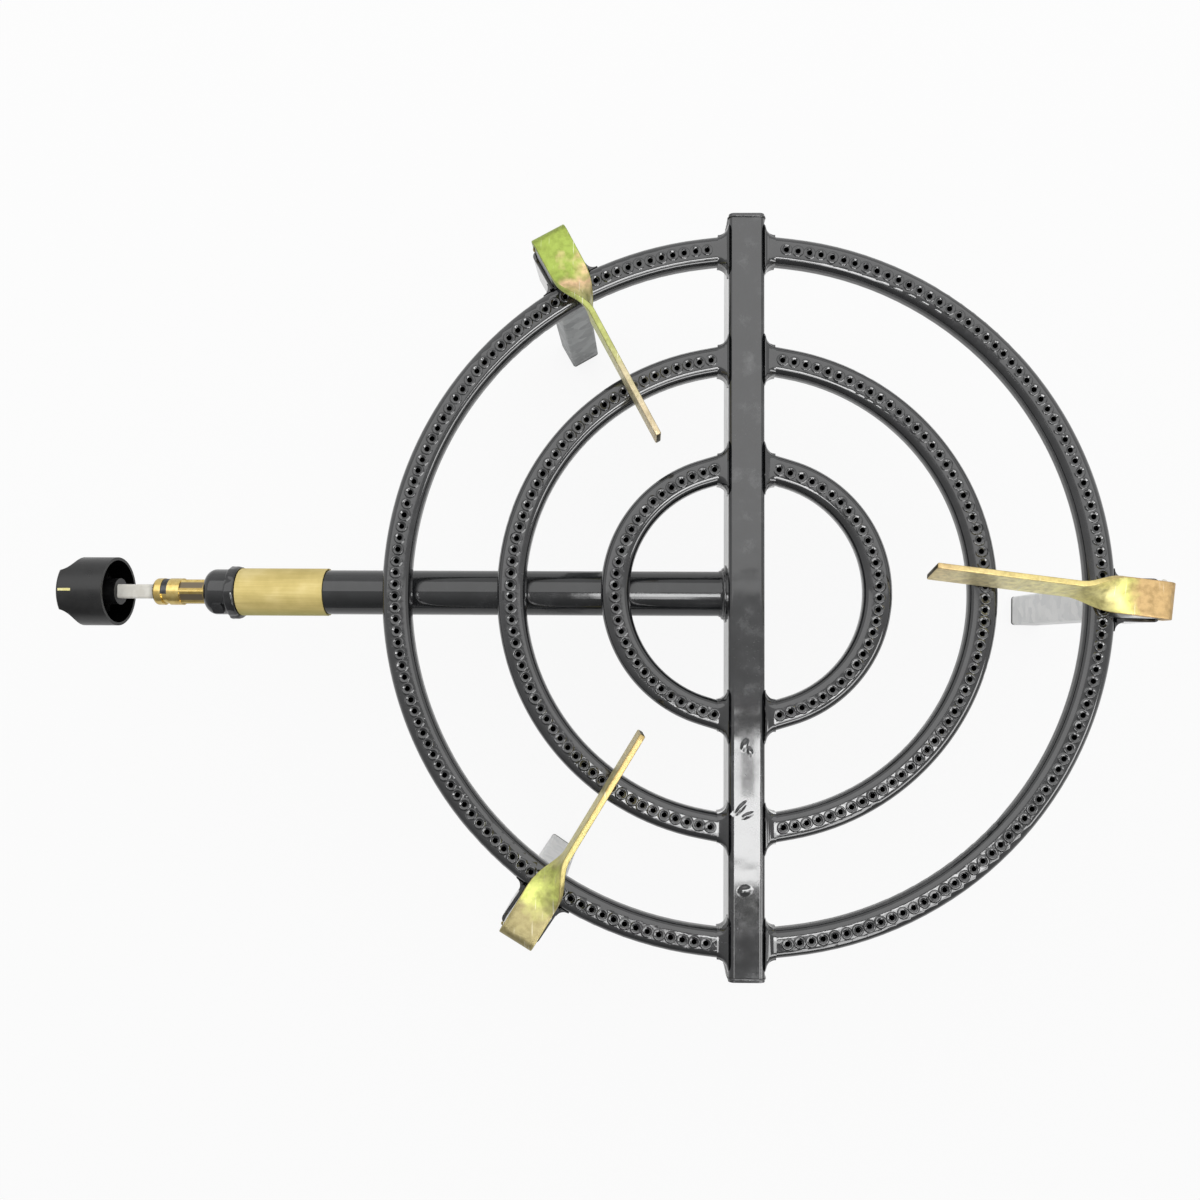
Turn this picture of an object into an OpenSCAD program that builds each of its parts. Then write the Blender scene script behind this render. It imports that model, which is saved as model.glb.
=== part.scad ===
// Paella burner: three concentric gas rings on one manifold, fed through a mixing tube by a gas tap,
// and carried by three clamped legs whose twisted straps hold the pan.
// The floor is z = 0, the manifold runs along Y, and the mixing tube leaves it towards -X.

/* [Rings] */
// Outside diameter of the outer ring's half circles
outer_ring_d = 500; // [490:1:520]
// Outside diameter of the middle ring's half circles
middle_ring_d = 345; // [330:1:360]
// Outside diameter of the inner ring's half circles
inner_ring_d = 191.5; // [180:0.5:205]
// How far each half circle of the outer ring sits out from the middle
outer_ring_shift = 3; // [0:0.5:5]
// How far each half circle of the middle ring sits out from the middle
middle_ring_shift = 0.5; // [0:0.5:5]
// How far each half circle of the inner ring sits out from the middle
inner_ring_shift = 5; // [0:0.5:6]
// Height of the ring tops above the floor
ring_top_z = 205; // [190:1:230]
// Width of the ring tube
ring_tube_w = 20; // [18:0.5:24]
// Height of the ring tube
ring_tube_h = 15; // [13:0.5:18]
// Wall of the ring tube
ring_wall = 1.5; // [1:0.1:2]
// Outer corner radius of the ring tube
ring_corner_r = 6; // [3.5:0.5:6]
// Straight length at each end of a half ring
ring_end_run = 18; // [14:1:22]
// Diameter of a flame port
port_d = 3.6; // [2:0.1:4]
// Distance between flame ports along the ring
port_pitch = 8.1; // [7:0.1:12]
// Free length between the last port and the manifold
port_margin = 9; // [7:0.5:14]
// Radius of the welds where the rings meet the manifold
ring_weld_r = 7; // [4:0.5:9]

/* [Manifold] */
// Width of the manifold tube
manifold_w = 25; // [22:1:30]
// Height of the manifold tube
manifold_h = 50; // [48:1:60]
// Wall of the manifold tube
manifold_wall = 2; // [1.5:0.1:3]
// Outer corner radius of the manifold tube
manifold_corner_r = 4; // [3.5:0.5:6]
// How far the manifold top stands above the ring tops
manifold_rise = 1; // [0:0.5:2]
// Length of manifold tube past the outer ring
manifold_overhang = 12; // [9:0.5:20]
// Thickness of the manifold end caps
end_cap_t = 2; // [1.5:0.5:4]
// Diameter of the gas passage from the manifold into each ring end
passage_d = 9; // [6:0.5:10]

/* [Mixing tube] */
// Outside diameter of the mixing tube
inlet_d = 32; // [30:0.5:34]
// Wall of the mixing tube
inlet_wall = 2; // [1.5:0.1:3]
// Length of the mixing tube from the manifold
inlet_len = 355.5; // [340:0.5:380]
// Free height between the mixing tube and the rings above it
inlet_gap = 1; // [0.8:0.1:2]
// Radius of the weld where the mixing tube meets the manifold
inlet_weld_r = 4; // [2:0.5:5]
// Number of air windows around the mixing tube
air_hole_count = 4; // [2:1:6]
// Diameter of an air window
air_hole_d = 15; // [8:0.5:16]
// Distance from the outer end of the mixing tube to the middle of its air windows
air_hole_inset = 26; // [22:0.5:34]
// Outer diameter of the end collar
collar_d = 32.8; // [31:0.1:34]
// Length of the end collar past the mixing tube
collar_len = 18; // [16:0.5:22]
// Radius of the collar's rounded outer end
collar_round_r = 6.5; // [3:0.5:7]
// Thickness of the collar's end wall
collar_end_t = 4; // [3:0.5:6]
// Diameter of the collar's lip over the mixing tube
lip_d = 35.6; // [35:0.1:37]
// Length of the collar's lip over the mixing tube
lip_len = 6.2; // [5:0.1:9]
// How far the lip's shoulder reaches past the end of the mixing tube
lip_shoulder = 0.6; // [0.4:0.1:2]
// Width of the lug on the collar
lug_w = 9; // [6:0.5:12]
// Length of the lug on the collar
lug_len = 8; // [6:0.5:11]
// Height of the lug on the collar
lug_h = 1.6; // [1:0.1:2.5]
// Distance from the lip's shoulder to the lug
lug_inset = 2; // [1:0.5:2.5]
// Angle of the lug, measured round the collar from its top
lug_angle = 46; // [0:1:90]

/* [Air sleeve] */
// Length of the air sleeve
sleeve_len = 62.5; // [58:0.5:68]
// Sheet thickness of the air sleeve
sleeve_t = 0.8; // [0.6:0.1:1.2]
// Running gap between the sleeve and the mixing tube
sleeve_clear = 0.3; // [0.3:0.05:0.5]
// Width of the open seam along the sleeve
sleeve_seam_w = 2.5; // [1:0.5:6]
// Angle of the seam, measured round the tube from its top
sleeve_seam_angle = 100; // [0:5:180]
// Gap between the closed sleeve and the collar
sleeve_end_gap = 0.5; // [0.3:0.1:2]

/* [Gas tap] */
// Outside diameter of the tap body
tap_d = 19.3; // [18:0.1:22]
// Distance across the hexagon flats of the tap body
tap_flats = 17.2; // [16:0.1:18]
// Length of the hexagon part
tap_hex_len = 18.5; // [14:0.5:22]
// Length of the round part
tap_round_len = 19.5; // [15:0.1:22]
// Radius of the rounded outer end of the tap
tap_round_r = 2; // [1:0.5:2.5]
// Diameter of the neck that passes into the collar
tap_neck_d = 12; // [11:0.5:14]
// Width of the groove for the clip
clip_groove_w = 4.5; // [3:0.1:5]
// Distance from the outer end of the tap to the groove
clip_inset = 6.2; // [4.5:0.1:7]
// Thickness of the clip
clip_t = 0.8; // [0.6:0.1:1]
// Arc of the clip
clip_arc = 250; // [200:5:300]
// Diameter of the plug at its wide end
plug_d = 11.2; // [10.5:0.1:12]
// Length of the tapered plug
plug_len = 17; // [15:0.5:18]
// How much narrower the plug is at its inner end
plug_taper = 1.6; // [1:0.1:2]
// How far the plug reaches into the round part of the tap
plug_reach = 5; // [3:0.5:6]
// Distance from the plug's inner end to the gas inlet
gas_port_inset = 5; // [4:0.5:6]
// Running gap between the plug and its seat
plug_clear = 0.05; // [0.02:0.01:0.1]
// Diameter of the gas way through the tap
gas_way_d = 3.5; // [2.5:0.1:4]
// Push travel of the spindle
push_travel = 3; // [2:0.5:3.5]
// Diameter of the spindle's round shank inside the spring
shank_d = 7; // [6.5:0.1:7.4]
// Width of the spindle's tongue in the plug
tongue_w = 5.6; // [4.5:0.1:5.8]
// Thickness of the spindle's tongue
tongue_t = 2.5; // [2:0.1:3]
// Length of tongue inside the plug
tongue_len = 4.5; // [3.5:0.1:4.5]
// Wire diameter of the spring
spring_wire_d = 0.8; // [0.5:0.1:0.9]
// Turns of the spring
spring_turns = 3; // [2:1:4]
// Outer diameter of the jet
jet_d = 10; // [8:0.5:11]
// Length of the jet past the collar's end wall
jet_len = 9; // [7:0.5:11]
// Diameter of the jet's tip
jet_tip_d = 5; // [4:0.5:6]
// Diameter of the jet's orifice
jet_orifice_d = 1.2; // [0.8:0.1:2]
// Outside diameter of the hose tail
hose_tail_d = 9; // [8.5:0.1:10]
// Length of the hose tail's ribbed part
hose_tail_len = 24; // [18:1:30]
// Distance across the flats of the hose tail's hexagon
hose_hex_af = 13; // [12:0.5:15]
// Height of the hose tail's hexagon
hose_hex_h = 5; // [4:0.5:8]

/* [Knob and spindle] */
// Width of the square spindle
spindle_w = 10; // [9:0.1:10.4]
// Width of the spindle's end in the knob
spindle_tip_w = 8; // [7:0.1:8.5]
// Edge radius of the square spindle
spindle_edge_r = 1.5; // [1.2:0.1:2]
// Free length of spindle between the tap and the knob's rim
spindle_free_len = 28.4; // [26:0.1:36]
// Diameter of the knob
knob_d = 49.5; // [46:0.5:54]
// Depth of the knob
knob_depth = 32.6; // [31:0.1:36]
// Wall of the knob's skirt
knob_wall = 2.2; // [1.8:0.1:3]
// Depth of the hollow behind the knob
knob_hollow = 18; // [12:0.5:19]
// Radius of the knob's rounded front edge
knob_edge_r = 2; // [1:0.5:3]
// Width of the grip bar between the finger scoops
knob_grip_w = 27.6; // [24:0.1:30]
// Distance by which the middle of the finger scoops lies past the knob's front
knob_scoop_proud = 1; // [0.5:0.5:2]
// Radius of the finger scoops
knob_scoop_r = 9.5; // [8.5:0.5:10]
// Diameter of the knob's hub
knob_hub_d = 19; // [17:0.5:22]
// How far the hub stands past the rim
knob_hub_proud = 1.5; // [0:0.5:3]
// Width of the pointer line
pointer_w = 1.8; // [1.2:0.1:3]
// Length of the pointer line
pointer_len = 11; // [8:0.5:13]
// Depth of the pointer line's groove
pointer_depth = 0.6; // [0.4:0.1:1]

/* [Legs] */
// Angles of the right, back and front leg round the rings
leg_angles = [-1, 119.5, 236.3]; // [-5:0.1:240]
// Side of the square leg tube
leg_w = 25; // [22:0.5:26]
// Wall of the leg tube
leg_wall = 1.5; // [1.2:0.1:2.5]
// Corner radius of the leg tube
leg_corner_r = 2.5; // [2:0.1:3]
// Side gap between a leg and its socket
leg_clear = 0.5; // [0.4:0.1:1]
// Sheet thickness of a leg socket
socket_t = 2; // [1.5:0.1:3]
// Outer bend radius of a leg socket
socket_bend_r = 4; // [3.5:0.5:5]
// Height of a leg socket
socket_h = 42; // [36:1:55]
// Distance from a leg to the outer wall of its socket
socket_slack = 1; // [0.8:0.1:3]
// Radius of the welds between the sockets and the ring
socket_weld_r = 6; // [4:0.5:8]
// Thickness of the foot under a leg
foot_t = 3; // [2:0.5:6]
// Height of the foot plug inside a leg
foot_plug_h = 14; // [8:1:20]
// Wall of the foot plug inside a leg
foot_wall = 2; // [1.5:0.5:3]

/* [Pan supports] */
// Width of the flat bar
strap_w = 25; // [22:0.5:26]
// Thickness of the flat bar
strap_t = 4; // [3:0.5:5]
// Height of the middle of the flat bar above the ring tops
strap_rise = 19; // [18:0.5:30]
// Length of the flat part, from the bent outer end
strap_flat_len = 26; // [24:1:40]
// Length of the twisted part
strap_twist_len = 42; // [30:1:50]
// Length of the upright blade
strap_blade_len = 94; // [70:1:100]
// Inner radius of the bend at the outer end
strap_bend_r = 3; // [2:0.5:5]
// Height of the bent end's lower edge above the ring tops
strap_tail_rise = 4; // [2:0.5:8]
// Twist of the right, back and front support
strap_twist_angles = [76, 90, 85]; // [70:1:90]
// Skew of the right, back and front support on its leg
strap_skew_angles = [-6, -1.2, 2.6]; // [-8:0.1:8]

/* [Clamp screws] */
// Thread diameter of the clamp screws
screw_d = 8; // [6:1:8]
// Distance across the flats of screw heads and nuts
screw_af = 13; // [12:0.5:14]
// Height of a screw head
screw_head_h = 4; // [3.5:0.1:6]
// Height of a nut
nut_h = 5; // [4.5:0.1:8]
// Gap between nut and screw head
screw_gap = 1.5; // [1:0.5:6]
// Height of the clamp screws below the ring tops
screw_drop = 30; // [20:1:31]

/* [Hidden] */
$fn = 48;

RIGHT = 0;
BACK = 1;
FRONT = 2;
LEGS = [RIGHT, BACK, FRONT];

// Overlap that lets a cut pass cleanly through a face
cut = 1;
// Least thickness at the feathered edge of a weld
weld_lip = 0.6;
// Depth by which a weld bites into the tube that it joins
weld_bite = 1.2;
// Depth to which the ring tube's rounding may fall away at a weld's ends
weld_fall = 1;
// Distance from a weld's ends to the edges of the tube that it joins
weld_inset = ring_corner_r - sqrt(pow(ring_corner_r, 2) - pow(ring_corner_r - weld_fall, 2));
// Gap between pieces that are seated in each other
seat_clear = 0.1;
// Gap round the pointer line in its groove
pointer_clear = 0.02;
// Gap between the spindle's tongue and the plug's slot
tongue_clear = 0.15;
// Gap between the spindle's shank and the spring
spring_clear = 0.4;
// Gap between the spindle and the tap's counterbore
spindle_clear = 0.5;
// Gap between a clamp screw and the socket's wall
screw_clear = 0.3;
// How far the sockets end below the ring tops
socket_drop = 1;
// Angle by which a quarter ring overruns its middle before it is trimmed
ring_overrun = 2;

// Heights
ring_mid_z = ring_top_z - ring_tube_h / 2;
ring_bottom_z = ring_top_z - ring_tube_h;
manifold_mid_z = ring_top_z + manifold_rise - manifold_h / 2;
inlet_z = ring_bottom_z - inlet_gap - inlet_d / 2;
socket_top_z = ring_top_z - socket_drop;
strap_z = ring_top_z + strap_rise;
screw_z = ring_top_z - screw_drop;

// Half rings: a half circle that runs out straight into the side of the manifold
manifold_side = manifold_w / 2;
function ring_r(d) = (d - ring_tube_w) / 2;
function ring_lean(d, shift) =
  asin((manifold_side - shift) / norm([ring_r(d), ring_end_run])) + atan(ring_end_run / ring_r(d));
function ring_turn(d, shift) = 90 - ring_lean(d, shift);
function ring_arc(d, shift) = ring_r(d) * ring_turn(d, shift) * PI / 180;
// Middle of the ring tube where the straight end starts
function ring_bend_point(d, shift) =
  [shift + ring_r(d) * cos(ring_turn(d, shift)), ring_r(d) * sin(ring_turn(d, shift))];
// Y of the middle of the straight end at a given x
function ring_end_y(d, shift, x) =
  ring_bend_point(d, shift)[1] + (ring_bend_point(d, shift)[0] - x) * tan(ring_lean(d, shift));
// Half the width of the straight end, measured along Y
function ring_end_half(d, shift) = ring_tube_w / 2 / cos(ring_lean(d, shift));
// Point on the middle line at a distance s from the half ring's crown
function ring_point(d, shift, s) =
  let (run = abs(s) - ring_arc(d, shift), turn = ring_turn(d, shift), side = sign(s))
  run <= 0
    ? [shift + ring_r(d) * cos(s / ring_r(d) * 180 / PI), ring_r(d) * sin(s / ring_r(d) * 180 / PI)]
    : [ring_bend_point(d, shift)[0] - run * sin(turn),
       side * (ring_bend_point(d, shift)[1] + run * cos(turn))];

outer_end_y = ring_end_y(outer_ring_d, outer_ring_shift, manifold_side)
  + ring_end_half(outer_ring_d, outer_ring_shift);
manifold_len = 2 * (outer_end_y + manifold_overhang);

// Stations along the mixing tube's axis, measured out from the middle of the rings
tube_end_u = manifold_side + inlet_len;
lip_u = tube_end_u - lip_len;
collar_end_u = tube_end_u + collar_len;
collar_bore_r = inlet_d / 2 - inlet_wall;
air_u = tube_end_u - air_hole_inset;
sleeve_u = lip_u - sleeve_end_gap - sleeve_len;
sleeve_bore_r = inlet_d / 2 + sleeve_clear;
hex_end_u = collar_end_u + tap_hex_len;
tap_end_u = hex_end_u + tap_round_len;
clip_u = tap_end_u - clip_inset - clip_groove_w;
plug_outer_u = hex_end_u + plug_reach;
plug_inner_u = plug_outer_u - plug_len;
gas_port_u = plug_inner_u + gas_port_inset;
rim_u = tap_end_u + spindle_free_len;
knob_front_u = rim_u + knob_depth;

// Spindle: square bar, round shank and flat tongue
spindle_reach = spindle_w / sqrt(2) - spindle_edge_r * (sqrt(2) - 1);
tap_counterbore_r = spindle_reach + spindle_clear;
tap_counterbore_u = plug_outer_u + spring_wire_d;
spring_solid_h = spring_wire_d * (spring_turns + 1);
spring_r = shank_d / 2 + spring_clear + spring_wire_d / 2;
spindle_inner_u = plug_outer_u + push_travel + spring_solid_h + 2 * seat_clear;
shank_u = plug_outer_u + push_travel + spring_clear;
tongue_u = plug_outer_u - tongue_len;
spindle_tip_u = rim_u + knob_hollow;

// Clip groove in the tap
clip_groove_depth = 1.2;
clip_groove_r = tap_d / 2 - clip_groove_depth;
clip_start = -13;

// Gas inlet boss below the tap, with the hose tail's spigot
boss_r = hose_hex_af / 2;
boss_rise = 3;
boss_drop = tap_d / 2 + boss_rise;
hose_spigot_wall = (hose_tail_d - gas_way_d) / 4;
hose_spigot_r = gas_way_d / 2 + hose_spigot_wall;
hose_spigot_len = 4;

// Finger scoops in the knob's front
scoop_y = knob_grip_w / 2 + knob_scoop_r;
scoop_u = knob_front_u + knob_scoop_proud;

// Legs
function ring_shift_side(angle) = cos(angle) < 0 ? -outer_ring_shift : outer_ring_shift;
// Distance from the middle of the rings to the outer ring's outside, at a given angle
function ring_reach(angle) =
  outer_ring_shift * abs(cos(angle))
  + sqrt(pow(outer_ring_d / 2, 2) - pow(outer_ring_shift * sin(angle), 2));
leg_gap = 0.5;
leg_out = leg_gap + leg_w;
socket_in = leg_out + socket_slack;
socket_out = socket_in + socket_t;
socket_half_w = leg_w / 2 + leg_clear + socket_t;
screw_head_x = socket_out + nut_h + screw_gap;
screw_end_x = screw_head_x + screw_head_h;
strap_bottom_z = strap_z - strap_t / 2;

// The origin is in the middle of the part's length
hex_reach = screw_af / 2 / cos(30);
right_end_x = (ring_reach(leg_angles[RIGHT]) + screw_end_x) * cos(leg_angles[RIGHT])
  + screw_af / 2 * abs(sin(leg_angles[RIGHT]));
origin_x = (right_end_x - knob_front_u) / 2;

enamel = "#2b2c2e";
yellow_zinc = "#c9bd6a";
brass = "#c8a04a";
galvanised = "#a9abad";
black_plastic = "#1c1c1d";
nylon = "#e9e8e2";
steel = "#8d9094";

// Moves a piece from the middle of the rings into the part's frame
module in_frame() {
  translate([-origin_x, 0, 0])
    children();
}

// Frame of the mixing tube: z runs out along the tube and x points up
module on_inlet_axis() {
  in_frame()
    translate([0, 0, inlet_z])
      rotate([0, -90, 0])
        children();
}

// Frame of a leg: x runs out from the outer ring's outside, y along the ring
module at_leg(leg) {
  in_frame()
    rotate([0, 0, leg_angles[leg]])
      translate([ring_reach(leg_angles[leg]), 0, 0])
        children();
}

module rounded_rect(w, h, r) {
  square([w - 2 * r, h], center = true);
  square([w, h - 2 * r], center = true);
  for (x = [-1, 1], y = [-1, 1])
    translate([x * (w / 2 - r), y * (h / 2 - r)])
      circle(r);
}

module tube_section(w, h, r, wall) {
  difference() {
    rounded_rect(w, h, r);
    rounded_rect(w - 2 * wall, h - 2 * wall, r - wall);
  }
}

// Half profile of a turned bar of a given length with a rounded outer end
module rounded_bar_profile(r, len, round_r) {
  square([r, len - round_r]);
  square([r - round_r, len]);
  translate([r - round_r, len - round_r])
    circle(round_r);
}

// Concave corner weld in the angle between the +x and +y axes
module weld_corner(r) {
  difference() {
    square(r + weld_lip);
    translate([r + weld_lip, r + weld_lip])
      circle(r);
  }
}

module ring_section() {
  tube_section(ring_tube_w, ring_tube_h, ring_corner_r, ring_wall);
}

// Welds on both sides of a ring end, in the corners with the manifold
module ring_end_welds(d, shift) {
  weld_x = manifold_side + ring_weld_r + weld_lip;
  for (side = [-1, 1]) {
    edge_near = ring_end_y(d, shift, manifold_side) + side * (ring_end_half(d, shift) - weld_bite);
    edge_far = ring_end_y(d, shift, weld_x) + side * (ring_end_half(d, shift) - weld_bite);
    translate([0, 0, ring_bottom_z + weld_inset])
      linear_extrude(ring_tube_h - 2 * weld_inset)
        difference() {
          polygon([
            [manifold_side, edge_near],
            [weld_x, edge_far],
            [weld_x, edge_far + side * (weld_bite + ring_weld_r)],
            [manifold_side, edge_far + side * (weld_bite + ring_weld_r)]
          ]);
          translate([weld_x, edge_far + side * (weld_bite + weld_lip + ring_weld_r)])
            circle(ring_weld_r);
        }
  }
}

// Flame ports in one row along the crown of the tube
module ring_ports(d, shift) {
  reach = ring_arc(d, shift) + ring_end_run - port_margin;
  last = floor(reach / port_pitch - 0.5);
  for (i = [-last - 1:last])
    translate(concat(ring_point(d, shift, (i + 0.5) * port_pitch), ring_top_z - 2 * ring_wall))
      cylinder(d = port_d, h = 2 * ring_wall + cut, $fn = 24);
}

// Quarter of a ring: a bent stretch, its straight end and the welds at the manifold
module quarter_ring(d, shift) {
  turn = ring_turn(d, shift);
  difference() {
    union() {
      translate([shift, 0, ring_mid_z])
        rotate([0, 0, turn])
          union() {
            mirror([0, 1, 0])
              rotate_extrude(angle = turn + ring_overrun, $fn = 180)
                translate([ring_r(d), 0])
                  ring_section();
            translate([ring_r(d), 0, 0])
              rotate([-90, 0, 0])
                linear_extrude(ring_end_run + ring_tube_w / 2)
                  ring_section();
          }
      ring_end_welds(d, shift);
    }
    translate([0, -d, ring_bottom_z - cut])
      cube([d, d, ring_tube_h + 2 * cut]);
    translate([manifold_side - d, -cut, ring_bottom_z - cut])
      cube([d, d, ring_tube_h + 2 * cut]);
  }
}

// Right half of a ring
module half_ring(d, shift) {
  difference() {
    for (side = [0, 1])
      mirror([0, side, 0])
        quarter_ring(d, shift);
    ring_ports(d, shift);
  }
}

module ring_pair_half(d, shift, side) {
  color(enamel)
    in_frame()
      mirror([side, 0, 0])
        half_ring(d, shift);
}

module outer_ring_left() { ring_pair_half(outer_ring_d, outer_ring_shift, 1); }
module outer_ring_right() { ring_pair_half(outer_ring_d, outer_ring_shift, 0); }
module middle_ring_left() { ring_pair_half(middle_ring_d, middle_ring_shift, 1); }
module middle_ring_right() { ring_pair_half(middle_ring_d, middle_ring_shift, 0); }
module inner_ring_left() { ring_pair_half(inner_ring_d, inner_ring_shift, 1); }
module inner_ring_right() { ring_pair_half(inner_ring_d, inner_ring_shift, 0); }

// Gas passages into the ring ends on both sides of the manifold
module ring_passages() {
  rings = [
    [outer_ring_d, outer_ring_shift],
    [middle_ring_d, middle_ring_shift],
    [inner_ring_d, inner_ring_shift]
  ];
  for (ring = rings, side = [-1, 1])
    translate([0, side * ring_end_y(ring[0], ring[1], manifold_side), ring_mid_z])
      rotate([0, 90, 0])
        cylinder(d = passage_d, h = manifold_w + 2 * cut, center = true);
}

module manifold_tube() {
  color(enamel)
    in_frame()
      difference() {
        translate([0, manifold_len / 2, manifold_mid_z])
          rotate([90, 0, 0])
            linear_extrude(manifold_len)
              tube_section(manifold_w, manifold_h, manifold_corner_r, manifold_wall);
        ring_passages();
        translate([0, 0, inlet_z])
          rotate([0, -90, 0])
            cylinder(r = collar_bore_r, h = manifold_w);
      }
}

module manifold_end_caps() {
  color(enamel)
    in_frame()
      for (side = [0, 1])
        mirror([0, side, 0])
          translate([0, manifold_len / 2 + end_cap_t, manifold_mid_z])
            rotate([90, 0, 0])
              linear_extrude(end_cap_t)
                rounded_rect(manifold_w, manifold_h, manifold_corner_r);
}

module inlet_tube() {
  below = inlet_z - (manifold_mid_z - manifold_h / 2);
  color(enamel)
    on_inlet_axis()
      difference() {
        union() {
          translate([0, 0, manifold_side])
            cylinder(d = inlet_d, h = inlet_len);
          difference() {
            translate([0, 0, manifold_side])
              rotate_extrude()
                translate([inlet_d / 2, 0])
                  union() {
                    weld_corner(inlet_weld_r);
                    translate([-inlet_wall / 2, 0])
                      square([inlet_wall / 2, inlet_weld_r + weld_lip]);
                  }
            translate([-below - inlet_d, -inlet_d, manifold_side - cut])
              cube([inlet_d, 2 * inlet_d, inlet_d]);
          }
        }
        translate([0, 0, manifold_side - cut])
          cylinder(r = collar_bore_r, h = inlet_len + 2 * cut);
        for (i = [0:air_hole_count - 1])
          rotate([0, 0, (i + 0.5) * 360 / air_hole_count])
            translate([0, 0, air_u])
              rotate([0, 90, 0])
                cylinder(d = air_hole_d, h = inlet_d);
      }
}

module end_collar() {
  lug_u = lip_shoulder + lug_inset;
  color(enamel)
    on_inlet_axis()
      translate([0, 0, tube_end_u])
        union() {
          rotate_extrude()
            difference() {
              union() {
                rounded_bar_profile(collar_d / 2, collar_len, collar_round_r);
                translate([0, -lip_len])
                  square([lip_d / 2, lip_len + lip_shoulder]);
              }
              square([collar_bore_r, collar_len - collar_end_t]);
              translate([0, -lip_len - cut])
                square([inlet_d / 2 + seat_clear, lip_len + cut]);
              square([tap_neck_d / 2 + seat_clear, collar_len + cut]);
            }
          rotate([0, 0, -lug_angle])
            translate([collar_d / 2 - weld_bite, 0, lug_u])
              rotate([90, 0, 90])
                linear_extrude(lug_h + weld_bite)
                  translate([0, lug_len / 2])
                    rounded_rect(lug_w, lug_len, lug_h);
        }
}

module air_sleeve() {
  color(yellow_zinc)
    on_inlet_axis()
      translate([0, 0, sleeve_u])
        difference() {
          cylinder(r = sleeve_bore_r + sleeve_t, h = sleeve_len);
          translate([0, 0, -cut])
            cylinder(r = sleeve_bore_r, h = sleeve_len + 2 * cut);
          rotate([0, 0, -sleeve_seam_angle])
            translate([0, -sleeve_seam_w / 2, -cut])
              cube([inlet_d, sleeve_seam_w, sleeve_len + 2 * cut]);
        }
}

// Injector on the tap's neck, which blows into the mixing tube
module gas_jet() {
  jet_top = collar_end_u - collar_end_t - seat_clear;
  color(brass)
    on_inlet_axis()
      difference() {
        union() {
          translate([0, 0, jet_top - jet_len / 2])
            cylinder(d = jet_d * 2 / sqrt(3), h = jet_len / 2, $fn = 6);
          translate([0, 0, jet_top - jet_len])
            cylinder(d1 = jet_tip_d, d2 = (jet_tip_d + jet_d) / 2, h = jet_len / 2);
        }
        translate([0, 0, jet_top - jet_len - cut])
          cylinder(d = jet_orifice_d, h = jet_len + 2 * cut);
        translate([0, 0, jet_top - jet_len / 2])
          cylinder(d = gas_way_d, h = jet_len);
      }
}

// Tapered seat of the plug, or the plug itself with no gap
module plug_cone(gap) {
  translate([0, 0, plug_inner_u])
    cylinder(r1 = (plug_d - plug_taper) / 2 + gap, r2 = plug_d / 2 + gap, h = plug_len);
}

module tap_body() {
  color(brass)
    on_inlet_axis()
      difference() {
        union() {
          translate([0, 0, collar_end_u - collar_end_t])
            cylinder(d = tap_neck_d, h = collar_end_t + cut);
          translate([0, 0, collar_end_u])
            intersection() {
              cylinder(d = tap_d, h = tap_hex_len);
              cylinder(r = tap_flats / 2 / cos(30), h = tap_hex_len, $fn = 6);
            }
          translate([0, 0, hex_end_u])
            rotate_extrude()
              rounded_bar_profile(tap_d / 2, tap_round_len, tap_round_r);
          translate([0, 0, gas_port_u])
            rotate([0, -90, 0])
              cylinder(r = boss_r, h = boss_drop);
        }
        plug_cone(plug_clear);
        translate([0, 0, plug_outer_u])
          cylinder(r = plug_d / 2 + plug_clear, h = cut);
        translate([0, 0, tap_counterbore_u])
          cylinder(r = tap_counterbore_r, h = tap_end_u - tap_counterbore_u + cut);
        translate([0, 0, collar_end_u - collar_end_t - cut])
          cylinder(d = gas_way_d, h = plug_inner_u - collar_end_u + collar_end_t + 2 * cut);
        translate([0, 0, gas_port_u])
          rotate([0, -90, 0])
            cylinder(d = gas_way_d, h = boss_drop + cut);
        translate([-boss_drop - cut, 0, gas_port_u])
          rotate([0, 90, 0])
            cylinder(r = hose_spigot_r + plug_clear, h = hose_spigot_len + cut);
        translate([0, 0, clip_u])
          rotate_extrude()
            translate([clip_groove_r, 0])
              square([tap_d, clip_groove_w]);
      }
}

module tap_clip() {
  color(steel)
    on_inlet_axis()
      translate([0, 0, clip_u + seat_clear])
        rotate([0, 0, clip_start])
          rotate_extrude(angle = clip_arc)
            translate([clip_groove_r + seat_clear, 0])
              square([clip_t, clip_groove_w - 2 * seat_clear]);
}

// Gas inlet, pointing down from the tap
module hose_tail() {
  rib_pitch = hose_tail_len / 4;
  groove = 0.5;
  color(brass)
    on_inlet_axis()
      translate([-boss_drop, 0, gas_port_u])
        rotate([0, -90, 0])
          difference() {
            union() {
              translate([0, 0, -hose_spigot_len])
                cylinder(r = hose_spigot_r, h = hose_spigot_len);
              cylinder(r = hose_hex_af / 2 / cos(30), h = hose_hex_h, $fn = 6);
              translate([0, 0, hose_hex_h])
                cylinder(d = hose_tail_d, h = hose_tail_len);
            }
            for (i = [1:3])
              translate([0, 0, hose_hex_h + i * rib_pitch - groove])
                rotate_extrude()
                  translate([hose_tail_d / 2 - groove, 0])
                    square([hose_tail_d, 2 * groove]);
            translate([0, 0, -hose_spigot_len - cut])
              cylinder(d = gas_way_d, h = hose_spigot_len + hose_hex_h + hose_tail_len + 2 * cut);
          }
}

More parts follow.
